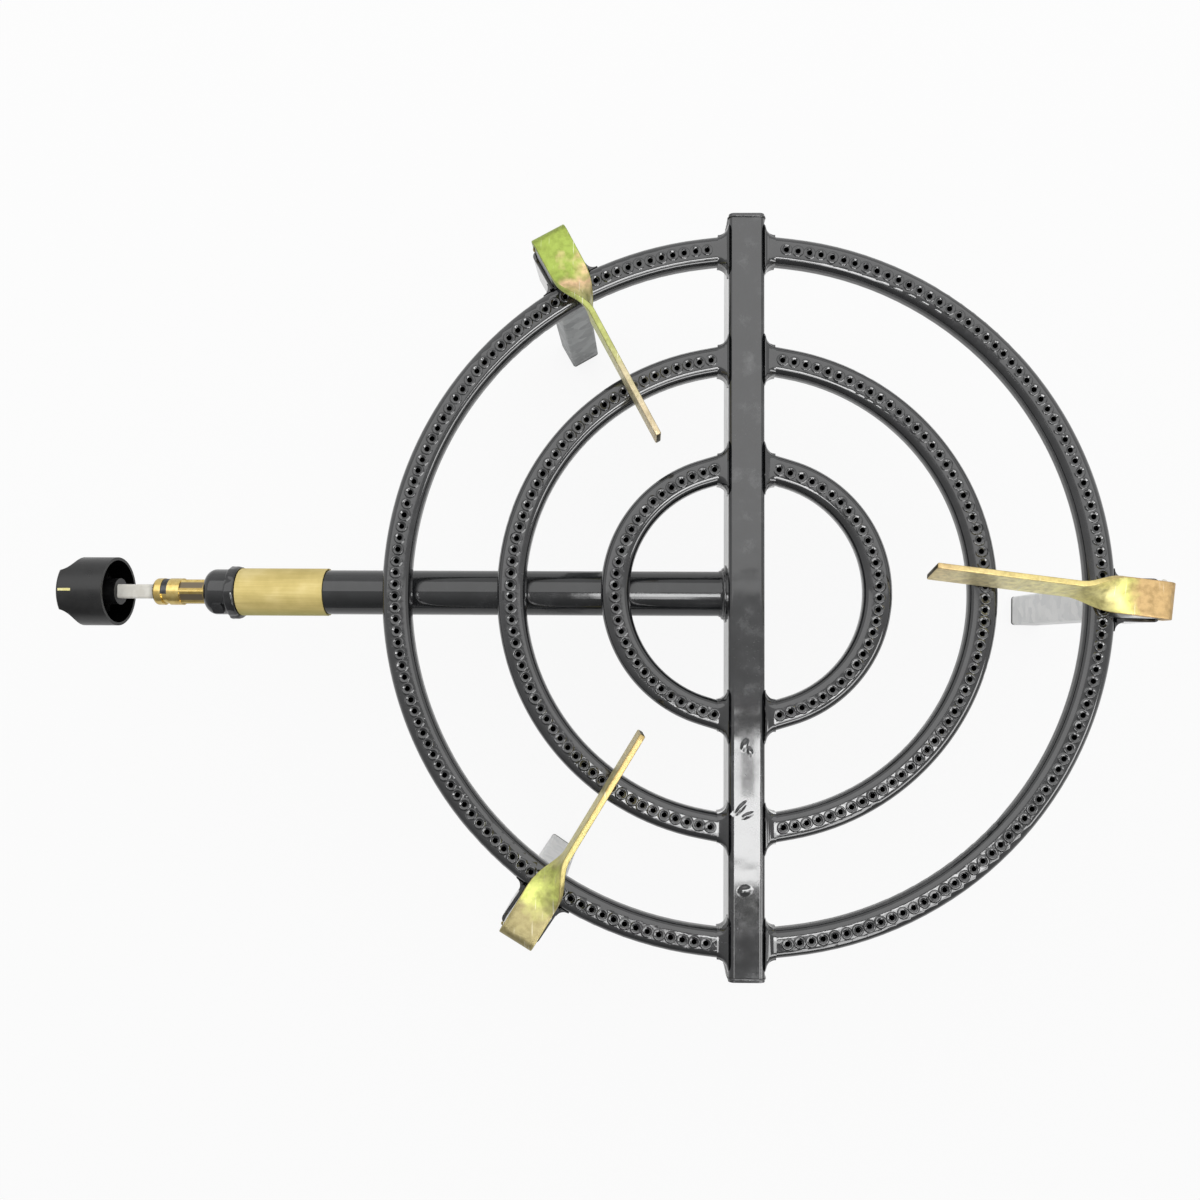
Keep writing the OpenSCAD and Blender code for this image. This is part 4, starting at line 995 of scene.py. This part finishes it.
@dataclass
class GasRings:
    """The three rings in their six halves, with the paint rims round the ports and over the end welds."""

    rings: tuple[HalfRing, ...] = (
        HalfRing("outer", 500.0, 3.0), HalfRing("middle", 345.0, 0.5), HalfRing("inner", 191.5, 5.0))
    rim_spokes: int = 20
    # Radius and height of a crater's profile: port wall, dished inside, crest and foot
    rim_profile: tuple[Span, ...] = (
        (1.73, -1.3), (1.76, -0.2), (1.84, 0.03), (2.3, 0.2), (2.75, 0.38), (3.15, 0.55),
        (3.4, 0.62), (3.65, 0.58), (4.0, 0.36), (4.35, 0.12), (4.7, -0.1))
    port_r: float = 1.84
    # Sizes of a rim's one, two and three lumps, and how far they widen and lift it
    lumps: Point = (0.28, 0.2, 0.12)
    lump_widens: float = 0.22
    lump_lifts: float = 0.8
    # Plan radius of the welds at the ring ends, their lip, and the paint over them
    weld_r: float = 7.0
    weld_lip: float = 0.6
    paint_t: float = 0.15
    paint_rise: float = 1.6
    weld_depth: float = 10.0
    paint_steps: int = 12
    edge_steps: int = 6

    def rim_strength(self, x: float, y: float) -> float:
        """How far the paint piled up at a port.

        Args:
            x: Place of the port across the rings.
            y: Place of the port along the manifold.

        Returns:
            A factor on the rim's height, larger at the front and left, where the rings hung to dry.
        """
        lean = (-0.9 * y - 0.5 * x) / 250.0
        return 0.95 + 0.2 * max(-0.8, min(0.8, lean))

    def port_rim(self, ring: HalfRing, x: float, y: float, rng: random.Random) -> list[Row]:
        """Rows of points over one port's uneven crater of paint.

        Args:
            ring: The port's ring.
            x: Middle of the port.
            y: Middle of the port.
            rng: Seeded source of the rim's lumps.

        Returns:
            Rings of points from the port's wall outwards.
        """
        strength = self.rim_strength(x, y) * rng.uniform(0.75, 1.25)
        phases = [rng.uniform(0, 2 * math.pi) for _ in self.lumps]
        spread = rng.uniform(0.92, 1.06)
        rows: list[Row] = []
        for radius, height in self.rim_profile:
            row = []
            for k in range(self.rim_spokes):
                a = 2 * math.pi * k / self.rim_spokes
                lump = sum(size * math.sin(n * a + phase)
                           for n, (size, phase) in enumerate(zip(self.lumps, phases), 1))
                widen = spread * (1 + self.lump_widens * lump) * (0.7 + 0.3 * min(1.0, strength))
                grown = self.port_r + (radius - self.port_r) * widen if radius > self.port_r else radius
                lift = height if height < 0 else height * strength * (1 + self.lump_lifts * lump)
                px, py = x + grown * math.cos(a), y + grown * math.sin(a)
                away = math.hypot(px - math.copysign(ring.shift, x), py) - ring.radius
                row.append((px, py, RING_TOP - ring_drop(away) + lift))
            rows.append(row)
        return rows

    def end_paint(self, ring: HalfRing, hand: float, side: int, rng: random.Random) -> list[Row]:
        """Rows of points over the thick paint that flows from a ring's end over its welds to the manifold.

        Args:
            ring: The ring.
            hand: 1 for the right half, -1 for the left.
            side: 1 for the back end, -1 for the front.
            rng: Seeded source of the paint's lumps.

        Returns:
            Rows of points across the ring, from the manifold outwards.
        """
        reach = self.weld_r + self.weld_lip
        slope = math.tan(ring.lean)
        rows: list[Row] = []
        for i in range(self.paint_steps + 1):
            out = reach * i / self.paint_steps
            past = max(0.0, min(self.weld_r, reach - out))
            flare = reach - math.sqrt(self.weld_r ** 2 - past ** 2) if out < reach else 0.0
            inner = -(ring.tube_w / 2 + flare + (reach - out) * slope + self.paint_t)
            outer = ring.tube_w / 2 + flare + self.paint_t
            heap = self.paint_rise * (1 - out / reach) ** 2 * rng.uniform(0.8, 1.2)
            rise = heap + self.paint_t * (1 - i / self.paint_steps)
            row = []
            for fall, d in self.across(inner, outer):
                y = side * (ring.end_y() - out * slope + d)
                row.append((hand * (ring.manifold_side + out), y, RING_TOP + rise - fall))
            rows.append(row)
        return rows

    def across(self, inner: float, outer: float) -> list[Span]:
        """Fall and place of the points across a rounded ring tube.

        Args:
            inner: Place of the side towards the middle of the rings.
            outer: Place of the side away from it.

        Returns:
            Fall from the top and place across, from the inner side to the outer.
        """
        angles = [math.pi / 2 * k / self.edge_steps for k in range(self.edge_steps, -1, -1)]
        bend = [(RING_EDGE_R * (1 - math.cos(a)), RING_EDGE_R * (1 - math.sin(a))) for a in angles]
        left = [(self.weld_depth, inner)] + [(fall, inner + in_from) for fall, in_from in bend]
        right = [(fall, outer - in_from) for fall, in_from in reversed(bend)] + [(self.weld_depth, outer)]
        return left + right

    def build(self) -> None:
        """Dress the ring halves, and add their port rims and the paint over their welds."""
        for ring in self.rings:
            for half in Half:
                rng = random.Random(f"{ring.label}-{half.label}")
                node = f"{ring.label}_ring_{half.label}"
                FINISHES.dress(node, RING_ENAMEL)
                rims = MeshDraft()
                for x, y in ring.ports():
                    rims.add_grid(self.port_rim(ring, half.sign * x, y, rng))
                rims.piece(f"{node}_port_rims", "burner", "enamel", [ENAMEL])
                flow = MeshDraft()
                for side in (-1, 1):
                    flow.add_grid(self.end_paint(ring, half.sign, side, rng), wrap=False)
                flow.piece(f"{node}_weld_paint", "burner", "enamel", [ENAMEL])


@dataclass
class Manifold:
    """The manifold tube with its welded end caps."""

    width: float = 25.0
    height: float = 50.0
    corner_r: float = 4.0
    bead_r: float = 0.9
    # How far the seam lies inside the tube's end, its steps round a corner and its step along a side
    seam_in: float = 0.2
    corner_steps: int = 3
    step_mm: float = 2.2
    # Folds in the paint on the manifold's top: x, y, direction in degrees, half length, half width and height
    folds: tuple[tuple[float, ...], ...] = (
        (-1.5, -105.0, 70.0, 6.5, 3.6, 0.55), (2.0, -109.0, 110.0, 5.0, 2.8, 0.5),
        (-4.0, -147.5, 50.0, 8.0, 3.0, 0.6), (0.5, -152.5, 25.0, 6.5, 2.8, 0.5),
        (-1.5, -203.0, 8.0, 7.0, 4.8, 0.85))

    def cap_seam(self, y: float, top: float) -> list[Point]:
        """Closed path round the tube at one end.

        Args:
            y: Place of the seam along the manifold.
            top: Height of the manifold's top.

        Returns:
            Points round the rounded rectangle.
        """
        half_w, half_h, r = self.width / 2 - self.corner_r, self.height / 2 - self.corner_r, self.corner_r
        middle = top - self.height / 2
        path: list[Point] = []
        corners = ((half_w, half_h, 0.0), (-half_w, half_h, 90.0),
                   (-half_w, -half_h, 180.0), (half_w, -half_h, 270.0))
        for i, (cx, cz, start) in enumerate(corners):
            for k in range(self.corner_steps + 1):
                a = math.radians(start + 90 * k / self.corner_steps)
                path.append((cx + r * math.cos(a), y, middle + cz + r * math.sin(a)))
            ahead = corners[(i + 1) % 4]
            a = math.radians(start + 90)
            first = Vector((cx + r * math.cos(a), y, middle + cz + r * math.sin(a)))
            last = Vector((ahead[0] + r * math.cos(a), y, middle + ahead[1] + r * math.sin(a)))
            count = round((last - first).length / self.step_mm)
            path.extend(tuple(first.lerp(last, k / count)) for k in range(1, count))
        return path

    def build(self) -> None:
        """Dress the manifold and weld its caps."""
        for node in ("manifold_tube", "manifold_end_caps"):
            FINISHES.dress(node, MANIFOLD_ENAMEL)
        low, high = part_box("manifold_tube")
        rng = random.Random("manifold")
        beads = MeshDraft()
        for end in (low.y, high.y):
            y = end / MM - math.copysign(self.seam_in, end)
            beads.add_grid(weld_bead(self.cap_seam(y, high.z / MM), self.bead_r, rng, closed=True))
        beads.piece("manifold_cap_welds", "burner", "enamel", [ENAMEL])
        bumps = MeshDraft()
        for x, y, turn, half_len, half_w, height in self.folds:
            ridge = paint_ridge((x, y, high.z / MM), math.radians(turn), half_len, half_w, height)
            bumps.add_grid(ridge, wrap=False)
        bumps.piece("manifold_paint_folds", "burner", "enamel", [MANIFOLD_ENAMEL])


@dataclass
class MixingTube:
    """The mixing tube with its weld at the manifold, its sliding air sleeve and the collar's crimped lip."""

    # Radius and place of the weld's seam, its points and the radius of its bead
    weld_r: float = 16.9
    weld_u: float = 13.6
    weld_steps: int = 64
    weld_bead_r: float = 1.9
    lip_u: Span = (362.0, 368.9)
    lip_r: float = 18.0
    lip_sag: float = 1.1
    spokes: int = 96
    # Share of the lip's length and change of radius along its rolled profile
    lip_profile: tuple[Span, ...] = (
        (0.0, -1.4), (0.0, -0.3), (0.1, 0.2), (0.3, 0.45), (0.55, 0.3), (0.8, 0.4), (0.95, 0.1), (1.0, -0.4),
        (1.0, -1.4))
    # Height, count and phase of the waves round the lip
    lip_waves: tuple[Point, ...] = ((0.22, 5, 0.7), (0.16, 9, 2.1), (0.1, 17, 0.0))
    # Angle from the top, width and depth of the open fold
    fold_deg: float = 70.0
    fold_width: float = 0.09
    fold_depth: float = 0.9

    def ring_point(self, u: float, r: float, a: float, sag: float = 0.0) -> Point:
        """Point round the tube's axis.

        Args:
            u: Distance out along the axis.
            r: Distance from the axis.
            a: Angle from the top towards the front, in radians.
            sag: Shift of the whole ring towards the front.

        Returns:
            The point from the middle of the rings.
        """
        return -u, -r * math.sin(a) - sag, INLET_Z + r * math.cos(a)

    def crimped_lip(self) -> MeshDraft:
        """Uneven rolled lip, pressed over the end of the tube, with one open fold."""
        draft = MeshDraft()
        near, far = self.lip_u
        rows: list[Row] = []
        for share, change in self.lip_profile:
            row = []
            for k in range(self.spokes):
                a = 2 * math.pi * k / self.spokes
                wave = sum(size * math.sin(count * a + phase) for size, count, phase in self.lip_waves)
                fold = math.exp(-((a - math.radians(self.fold_deg)) / self.fold_width) ** 2)
                r = self.lip_r + change + wave * (0.4 + share) - self.fold_depth * fold
                u = near + (far - near) * share + 0.35 * wave + 0.5 * fold * (0.5 - share)
                row.append(self.ring_point(u, r, a, self.lip_sag * max(0.0, math.sin(a)) ** 2))
            rows.append(row)
        draft.add_grid(rows)
        return draft

    def build(self) -> None:
        """Dress the tube, sleeve and collar, and add the weld and the lip."""
        for node in ("inlet_tube", "end_collar"):
            FINISHES.dress(node, TUBE_ENAMEL)
        FINISHES.dress("air_sleeve", SHEET)
        rng = random.Random("mixing tube")
        angles = [2 * math.pi * k / self.weld_steps for k in range(self.weld_steps)]
        seam = [self.ring_point(self.weld_u, self.weld_r, a) for a in angles]
        weld = MeshDraft()
        weld.add_grid(weld_bead(seam, self.weld_bead_r, rng, closed=True))
        weld.piece("mixing_tube_weld", "burner", "enamel", [ENAMEL])
        self.crimped_lip().piece("collar_crimped_lip", "burner", "enamel", [TUBE_ENAMEL])


@dataclass
class GasTap:
    """The brass tap with its jet, plug, clip, hose tail and the spring under the spindle."""

    wire_r: float = 0.4
    turns: int = 3
    turn_steps: int = 24
    wire_sides: int = 8
    # How far the knob presses the spring together
    push: float = 3.0

    def spring(self) -> None:
        """Wind the spring from the plug out to the spindle."""
        low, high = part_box("tap_spring")
        length = (high.x - low.x) / MM
        coil_r = (high.z - low.z) / 2 / MM - self.wire_r
        middle = (low + high) / 2 / MM
        steps = self.turns * self.turn_steps
        rows: list[Row] = []
        for i in range(steps + 1):
            a = 2 * math.pi * i / self.turn_steps
            x = high.x / MM - ORIGIN_X - self.wire_r - (length - 2 * self.wire_r) * i / steps
            row = []
            for k in range(self.wire_sides):
                b = 2 * math.pi * k / self.wire_sides
                r = coil_r + self.wire_r * math.cos(b)
                y, z = middle.y + r * math.sin(a), middle.z + r * math.cos(a)
                row.append((x + self.wire_r * math.sin(b), y, z))
            rows.append(row)
        draft = MeshDraft()
        draft.add_grid(rows)
        end = range(self.wire_sides)
        draft.faces += [tuple(reversed(end)), tuple(steps * self.wire_sides + k for k in end)]
        piece = draft.piece("tap_coil_spring", "tap_rotor", "spring_steel", [SPRING_STEEL])
        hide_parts("tap_spring")
        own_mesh(piece)

    def build(self) -> None:
        """Dress the tap's pieces and wind its spring."""
        for node in ("tap_body", "hose_tail", "tap_plug", "gas_jet"):
            FINISHES.dress(node, BRASS)
        FINISHES.dress("tap_clip", SPRING_STEEL)
        self.spring()


class ControlKnob:
    """The knob on its nylon spindle, with the pointer line."""

    def build(self) -> None:
        """Dress the knob's pieces."""
        FINISHES.dress("spindle", NYLON)
        FINISHES.dress("knob", KNOB_PLASTIC)
        FINISHES.dress("knob_pointer", POINTER_PAINT)


@dataclass
class PanSupport:
    """One twisted flat bar, lofted finer than its solid and with rolled edges."""

    leg: Leg
    width: float = 25.0
    thickness: float = 4.0
    edge_r: float = 0.7
    leg_out: float = 25.5
    leg_middle: float = 13.0
    bend_r: float = 3.0
    rise: float = 19.0
    tail_rise: float = 4.0
    flat_len: float = 26.0
    twist_len: float = 42.0
    blade_len: float = 94.0
    # Steps of the section round a corner and across a wide face
    corner_steps: int = 3
    face_steps: int = 10
    # Steps along the tail, the bend, the flat, the twist and the blade, and the rounding of the cut ends
    tail_steps: int = 4
    bend_steps: int = 12
    flat_steps: int = 5
    twist_steps: int = 60
    blade_steps: int = 23
    end_r: float = 0.5

    def section(self, inset: float = 0.0) -> list[Span]:
        """Outline of the bar: across and out from its middle.

        Args:
            inset: Amount by which the outline is drawn in, for the rounded ends.

        Returns:
            Points round the section.
        """
        half_w, half_t, r = self.width / 2 - inset, self.thickness / 2 - inset, self.edge_r
        outline: list[Span] = []
        corners = ((half_w - r, half_t - r, 0), (-half_w + r, half_t - r, 90),
                   (-half_w + r, -half_t + r, 180), (half_w - r, -half_t + r, 270))
        for i, (cx, cy, start) in enumerate(corners):
            for k in range(self.corner_steps + 1):
                a = math.radians(start + 90 * k / self.corner_steps)
                outline.append((cx + r * math.cos(a), cy + r * math.sin(a)))
            if i in (0, 2):
                sign = 1 if i == 0 else -1
                outline.extend((sign * (half_w - r) * (1 - 2 * k / self.face_steps), sign * half_t)
                               for k in range(1, self.face_steps))
        return outline

    def stations(self) -> list[tuple[float, float, float, float, float]]:
        """Stations along the bar: x, z, pitch, roll and the inset of the section."""
        z = RING_TOP + self.rise
        outer = self.leg_out + self.thickness
        bend_x, bend_z = self.leg_out - self.bend_r, z - self.thickness / 2 - self.bend_r
        mid_r = self.bend_r + self.thickness / 2
        tail_x, tail_z = self.leg_out + self.thickness / 2, RING_TOP + self.tail_rise
        level, full = math.pi / 2, self.leg.twist
        cut_z = tail_z + self.end_r
        rows = [(tail_x, tail_z, 0.0, 0.0, self.end_r), (tail_x, cut_z, 0.0, 0.0, 0.0)]
        for k in range(1, self.tail_steps):
            rows.append((tail_x, cut_z + (bend_z - cut_z) * k / self.tail_steps, 0.0, 0.0, 0.0))
        for k in range(self.bend_steps + 1):
            pitch = level * k / self.bend_steps
            rows.append((bend_x + mid_r * math.cos(pitch), bend_z + mid_r * math.sin(pitch), pitch, 0.0, 0.0))
        twist_x = outer - self.flat_len
        for k in range(1, self.flat_steps):
            rows.append((bend_x + (twist_x - bend_x) * k / self.flat_steps, z, level, 0.0, 0.0))
        for k in range(self.twist_steps + 1):
            s = k / self.twist_steps
            rows.append((twist_x - self.twist_len * s, z, level, full * s * s * (3 - 2 * s), 0.0))
        blade_x = twist_x - self.twist_len
        for k in range(1, self.blade_steps + 1):
            rows.append((blade_x - (self.blade_len - self.end_r) * k / self.blade_steps, z, level, full, 0.0))
        rows.append((blade_x - self.blade_len, z, level, full, self.end_r))
        return rows

    def build(self, to_frame: Callable[[Point], Point]) -> bpy.types.Object:
        """Loft the bar.

        Args:
            to_frame: Turns a point of the leg's frame into one from the middle of the rings.

        Returns:
            The new piece.
        """
        draft = MeshDraft()
        rows: list[Row] = []
        stations = self.stations()
        travelled = [0.0]
        for (x0, z0, *_), (x1, z1, *_) in zip(stations, stations[1:]):
            travelled.append(travelled[-1] + math.hypot(x1 - x0, z1 - z0))
        cos_skew, sin_skew = math.cos(self.leg.skew), math.sin(self.leg.skew)
        for x, z, pitch, roll, inset in stations:
            row = []
            for across, out in self.section(inset):
                y = across * math.cos(roll) - out * math.sin(roll)
                lift = across * math.sin(roll) + out * math.cos(roll)
                px, pz = x + lift * math.cos(pitch) - self.leg_middle, z + lift * math.sin(pitch)
                skewed_x = self.leg_middle + px * cos_skew - y * sin_skew
                row.append(to_frame((skewed_x, px * sin_skew + y * cos_skew, pz)))
            rows.append(row)
        draft.add_grid(rows)
        sides = len(rows[0])
        last = (len(rows) - 1) * sides
        label = self.leg.label
        wide_zinc = YellowZinc(f"yellow_zinc_strap_{label}", STRAP_TONES[self.leg])
        edge_zinc = YellowZinc(f"yellow_zinc_strap_edge_{label}", EDGE_TONES[self.leg])
        finishes = [wide_zinc, SHEARED_STEEL, edge_zinc]
        # Each half of the section has a corner, a wide face and a second corner; what isn't wide is edge
        wide = range(self.corner_steps, self.corner_steps + self.face_steps)
        for face in range(len(draft.faces)):
            if face % sides % (sides // 2) not in wide:
                draft.face_finish[face] = finishes.index(edge_zinc)
        for cut in (reversed(range(sides)), range(last, last + sides)):
            draft.face_finish[len(draft.faces)] = finishes.index(SHEARED_STEEL)
            draft.faces.append(tuple(cut))
        draft.along = [t / travelled[-1] for t in travelled for _ in range(sides)]
        piece = draft.piece(f"twisted_strap_{label}", f"leg_{label}", "yellow_zinc", finishes)
        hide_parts(f"pan_support_{self.leg.label}")
        return piece


@dataclass
class LegSet:
    """The three legs in their clamped sockets, with their pan supports and welds."""

    ring_r: float = 250.0
    ring_shift: float = 3.0
    bead_r: float = 1.2
    # Seams at the sides of a socket: place out from the ring and to each side, heights and steps
    socket_seam: Span = (0.4, 15.3)
    socket_z: Span = (191.5, 203.0)
    socket_steps: int = 7
    # Seam under a strap at the inner side of its leg's top: place out and height, and the places across
    top_seam: Span = (0.9, 221.7)
    top_seam_y: range = range(-9, 10, 2)
    # Beads at the sides of a strap's tail, which stay above the socket at the leg's lower limit
    tail_weld_z: float = 210.6
    tail_step: float = 1.3
    tail_points: int = 7
    tail_bead_r: float = 1.0
    # How far a tail's beads lie out from the leg, and the place along the strap that gives the welds' tone
    tail_out: float = 0.3
    weld_along: float = 0.1

    def reach(self, leg: Leg) -> float:
        """Distance from the middle of the rings to the outer ring's outside at a leg."""
        sideways = self.ring_shift * math.sin(leg.angle)
        return self.ring_shift * abs(math.cos(leg.angle)) + math.sqrt(self.ring_r ** 2 - sideways ** 2)

    def to_frame(self, leg: Leg) -> Callable[[Point], Point]:
        """Give the function that turns a leg's own points into points from the middle of the rings.

        Args:
            leg: The leg whose frame is used.

        Returns:
            The function.
        """
        turn = Matrix.Rotation(leg.angle, 3, "Z")
        out = self.reach(leg)

        def place(point: Point) -> Point:
            """Place one point of the leg."""
            return tuple(turn @ Vector((point[0] + out, point[1], point[2])))

        return place

    def build(self) -> None:
        """Dress the legs, loft their supports and add the welds."""
        for leg in Leg:
            place = self.to_frame(leg)
            rng = random.Random(f"leg {leg.label}")
            FINISHES.dress(f"leg_socket_{leg.label}", ENAMEL)
            FINISHES.dress(f"leg_tube_{leg.label}", LEG_FINISH[leg])
            FINISHES.dress(f"foot_plug_{leg.label}", BLACK_PLASTIC)
            FINISHES.dress(f"pan_support_{leg.label}", ZINC_WELD)
            PanSupport(leg).build(place)
            socket = MeshDraft()
            out, aside = self.socket_seam
            low, high = self.socket_z
            heights = [low + (high - low) * k / self.socket_steps for k in range(self.socket_steps + 1)]
            for side in (-1, 1):
                seam = [place((out, side * aside, z)) for z in heights]
                socket.add_grid(weld_bead(seam, self.bead_r, rng))
            socket.piece(f"socket_weld_{leg.label}", "burner", "enamel", [ENAMEL])
            strap = MeshDraft()
            out, z = self.top_seam
            seam = [place((out, y, z)) for y in self.top_seam_y]
            strap.add_grid(weld_bead(seam, self.bead_r, rng))
            out, aside = PanSupport.leg_out + self.tail_out, PanSupport.width / 2
            heights = [self.tail_weld_z + self.tail_step * k for k in range(self.tail_points)]
            for side in (-1, 1):
                seam = [place((out, side * aside, z)) for z in heights]
                strap.add_grid(weld_bead(seam, self.tail_bead_r, rng))
            strap.along = [self.weld_along] * len(strap.points)
            strap.piece(f"strap_weld_{leg.label}", f"leg_{leg.label}", "yellow_zinc", [ZINC_WELD])
        for node in ("clamp_screws", "clamp_nuts"):
            FINISHES.dress(node, ZINC_STEEL)


def seen_directly(tree: bpy.types.NodeTree) -> tuple[bpy.types.Node, Socket]:
    """Tell the camera's view, also through clear things, from all other light.

    Args:
        tree: Node tree that takes the nodes.

    Returns:
        The Light Path node, and 1 for the view and 0 for the rest.
    """
    path = add_node(tree, "ShaderNodeLightPath")
    seen = add_node(tree, "ShaderNodeMath", {
        0: path.outputs["Is Camera Ray"], 1: path.outputs["Is Transmission Ray"]}, operation="MAXIMUM")
    return path, seen.outputs[0]


@dataclass(frozen=True)
class StudioFloor:
    """Matt white painted studio floor."""

    name: str = "white_studio_floor"
    paint: str = "#e2e2e2"
    # Share of plain white in the camera's view of the floor, and in its reflections
    lift_seen: float = 0.88
    lift_gloss: float = 0.2

    def build(self) -> bpy.types.Material:
        """Make the material."""
        # Plain white to the eye and in reflections, while it still takes the soft shadow
        material, tree, surface = blank_material(self.name)
        paint = add_node(tree, "ShaderNodeBsdfDiffuse", {"Color": linear(self.paint)})
        glow = add_node(tree, "ShaderNodeEmission", {"Color": linear("#ffffff"), "Strength": 1.0})
        path, seen = seen_directly(tree)
        plain = add_node(tree, "ShaderNodeMath", {0: seen, 1: self.lift_seen}, operation="MULTIPLY")
        values = {0: path.outputs["Is Glossy Ray"], 1: self.lift_gloss, 2: plain.outputs[0]}
        share = add_node(tree, "ShaderNodeMath", values, operation="MULTIPLY_ADD")
        mixed = add_node(tree, "ShaderNodeMixShader", {
            0: share.outputs[0], 1: paint.outputs["BSDF"], 2: glow.outputs["Emission"]})
        tree.links.new(mixed.outputs[0], surface)
        return material


@dataclass(frozen=True)
class SoftBox:
    """One rectangular studio lamp that points at a target."""

    name: str
    place: Point
    target: Point
    size: Span
    radiance: float
    # Whether it lights matt surfaces too, or shows in reflections only
    lights_matt: bool = False

    @classmethod
    def overhead(
        cls, name: str, x: float, y: float, size: Span, radiance: float, lights_matt: bool = False
    ) -> "SoftBox":
        """Hang a lamp 2 m above the floor that points straight down.

        Args:
            name: Name of the lamp.
            x: Place of its middle.
            y: Place of its middle.
            size: Width along x and depth along y.
            radiance: Brightness of its face.
            lights_matt: Whether it lights matt surfaces too.

        Returns:
            The lamp.
        """
        return cls(name, (x, y, 2.0), (x, y, 0.0), size, radiance, lights_matt)

    def build(self) -> None:
        """Add the lamp."""
        lamp = bpy.data.lights.new(self.name, "AREA")
        lamp.shape = "RECTANGLE"
        lamp.size, lamp.size_y = self.size
        lamp.energy = self.radiance * math.pi * self.size[0] * self.size[1]
        holder = bpy.data.objects.new(self.name, lamp)
        bpy.context.scene.collection.objects.link(holder)
        holder.visible_camera = False
        holder.visible_diffuse = self.lights_matt
        aim = Vector(self.target) - Vector(self.place)
        turn = aim.to_track_quat("-Z", "Y").to_matrix().to_4x4()
        holder.matrix_world = Matrix.Translation(self.place) @ turn


@dataclass
class Studio:
    """Floor, lamps, room light and the camera above the burner."""

    # Camera, in millimetres from the middle of the rings
    camera_place: Point = (-67.76, -39.31, 898.48)
    camera_turn_deg: Point = (2.53477, 1.03054, 0.29985)
    lens_mm: float = 30.27
    sensor_mm: float = 36.0
    shift: Span = (-0.0248, 0.003)
    clip_m: Span = (0.01, 50.0)
    floor_half_m: float = 6.0
    # Brightness of the room: as matt surfaces take it, and as gloss shows it in front and behind
    room_matt: float = 0.72
    room_front: float = 0.24
    room_back: float = 0.95
    lamps: tuple[SoftBox, ...] = (
        SoftBox.overhead("ceiling_softbox", 0.0, 1.35, (4.0, 2.5), 1.0, lights_matt=True),
        SoftBox.overhead("roof_window", 0.365, -0.508, (0.97, 0.215), 10.0),
        SoftBox.overhead("roof_pane_left", 0.069, -0.328, (0.378, 0.145), 10.0),
        SoftBox.overhead("roof_pane_right", 0.57, -0.328, (0.56, 0.145), 10.0),
        SoftBox.overhead("front_pane_left", 0.015, -0.86, (0.27, 0.49), 5.0),
        SoftBox.overhead("front_pane_right", 0.645, -0.86, (0.43, 0.49), 5.0),
        SoftBox("front_window", (1.3, -1.3, 1.45), (0.1, 0.0, 0.2), (2.4, 0.6), 5.0),
    )

    def camera(self) -> None:
        """Add the camera that sees the burner from above."""
        data = bpy.data.cameras.new("top_camera")
        data.sensor_width = self.sensor_mm
        data.lens = self.lens_mm
        data.shift_x, data.shift_y = self.shift
        data.clip_start, data.clip_end = self.clip_m
        holder = bpy.data.objects.new("top_camera", data)
        bpy.context.scene.collection.objects.link(holder)
        holder.location = in_frame(self.camera_place)
        holder.rotation_euler = Euler([math.radians(a) for a in self.camera_turn_deg], "XYZ")
        bpy.context.scene.camera = holder

    def room(self) -> None:
        """Light the room evenly, darker in front where gloss shows it, with a plain white view of it."""
        world = bpy.data.worlds.new("studio_room")
        bpy.context.scene.world = world
        world.use_nodes = True
        tree = world.node_tree
        tree.nodes.clear()
        output = add_node(tree, "ShaderNodeOutputWorld")
        place = add_node(tree, "ShaderNodeTexCoord").outputs["Generated"]
        axis = add_node(tree, "ShaderNodeSeparateXYZ", {"Vector": place})
        level = add_node(tree, "ShaderNodeMapRange", {
            "Value": axis.outputs["Y"], "From Min": -0.9, "From Max": 0.2,
            "To Min": self.room_front, "To Max": self.room_back})
        path, seen = seen_directly(tree)
        values = {"Factor": path.outputs["Is Glossy Ray"], 2: self.room_matt, 3: level.outputs[0]}
        strength = add_node(tree, "ShaderNodeMix", values, data_type="FLOAT")
        white = linear("#ffffff")
        room = add_node(tree, "ShaderNodeBackground", {"Color": white, "Strength": strength.outputs[0]})
        plain = add_node(tree, "ShaderNodeBackground", {"Color": white, "Strength": 1.0})
        mixed = add_node(tree, "ShaderNodeMixShader", {
            0: seen, 1: room.outputs["Background"], 2: plain.outputs["Background"]})
        tree.links.new(mixed.outputs[0], output.inputs["Surface"])

    def floor(self) -> None:
        """Lay the floor under the feet."""
        mesh = bpy.data.meshes.new("studio_floor")
        half = self.floor_half_m
        corners = [(x, y, 0.0) for x, y in ((-half, -half), (half, -half), (half, half), (-half, half))]
        mesh.from_pydata(corners, [], [(0, 1, 2, 3)])
        mesh.materials.append(StudioFloor().build())
        floor = bpy.data.objects.new("studio_floor", mesh)
        bpy.context.scene.collection.objects.link(floor)

    def build(self) -> None:
        """Set up the studio."""
        self.camera()
        self.room()
        self.floor()
        for lamp in self.lamps:
            lamp.build()
        bpy.context.scene.view_settings.view_transform = "Standard"
        LOG.info("studio with %d lamps", len(self.lamps))


def main() -> None:
    """Build the studio and each sub-assembly in order."""
    logging.basicConfig(level=logging.INFO, format="%(name)s: %(message)s")
    Studio().build()
    for assembly in (GasRings(), Manifold(), MixingTube(), GasTap(), ControlKnob(), LegSet()):
        assembly.build()


if __name__ == "__main__":
    main()
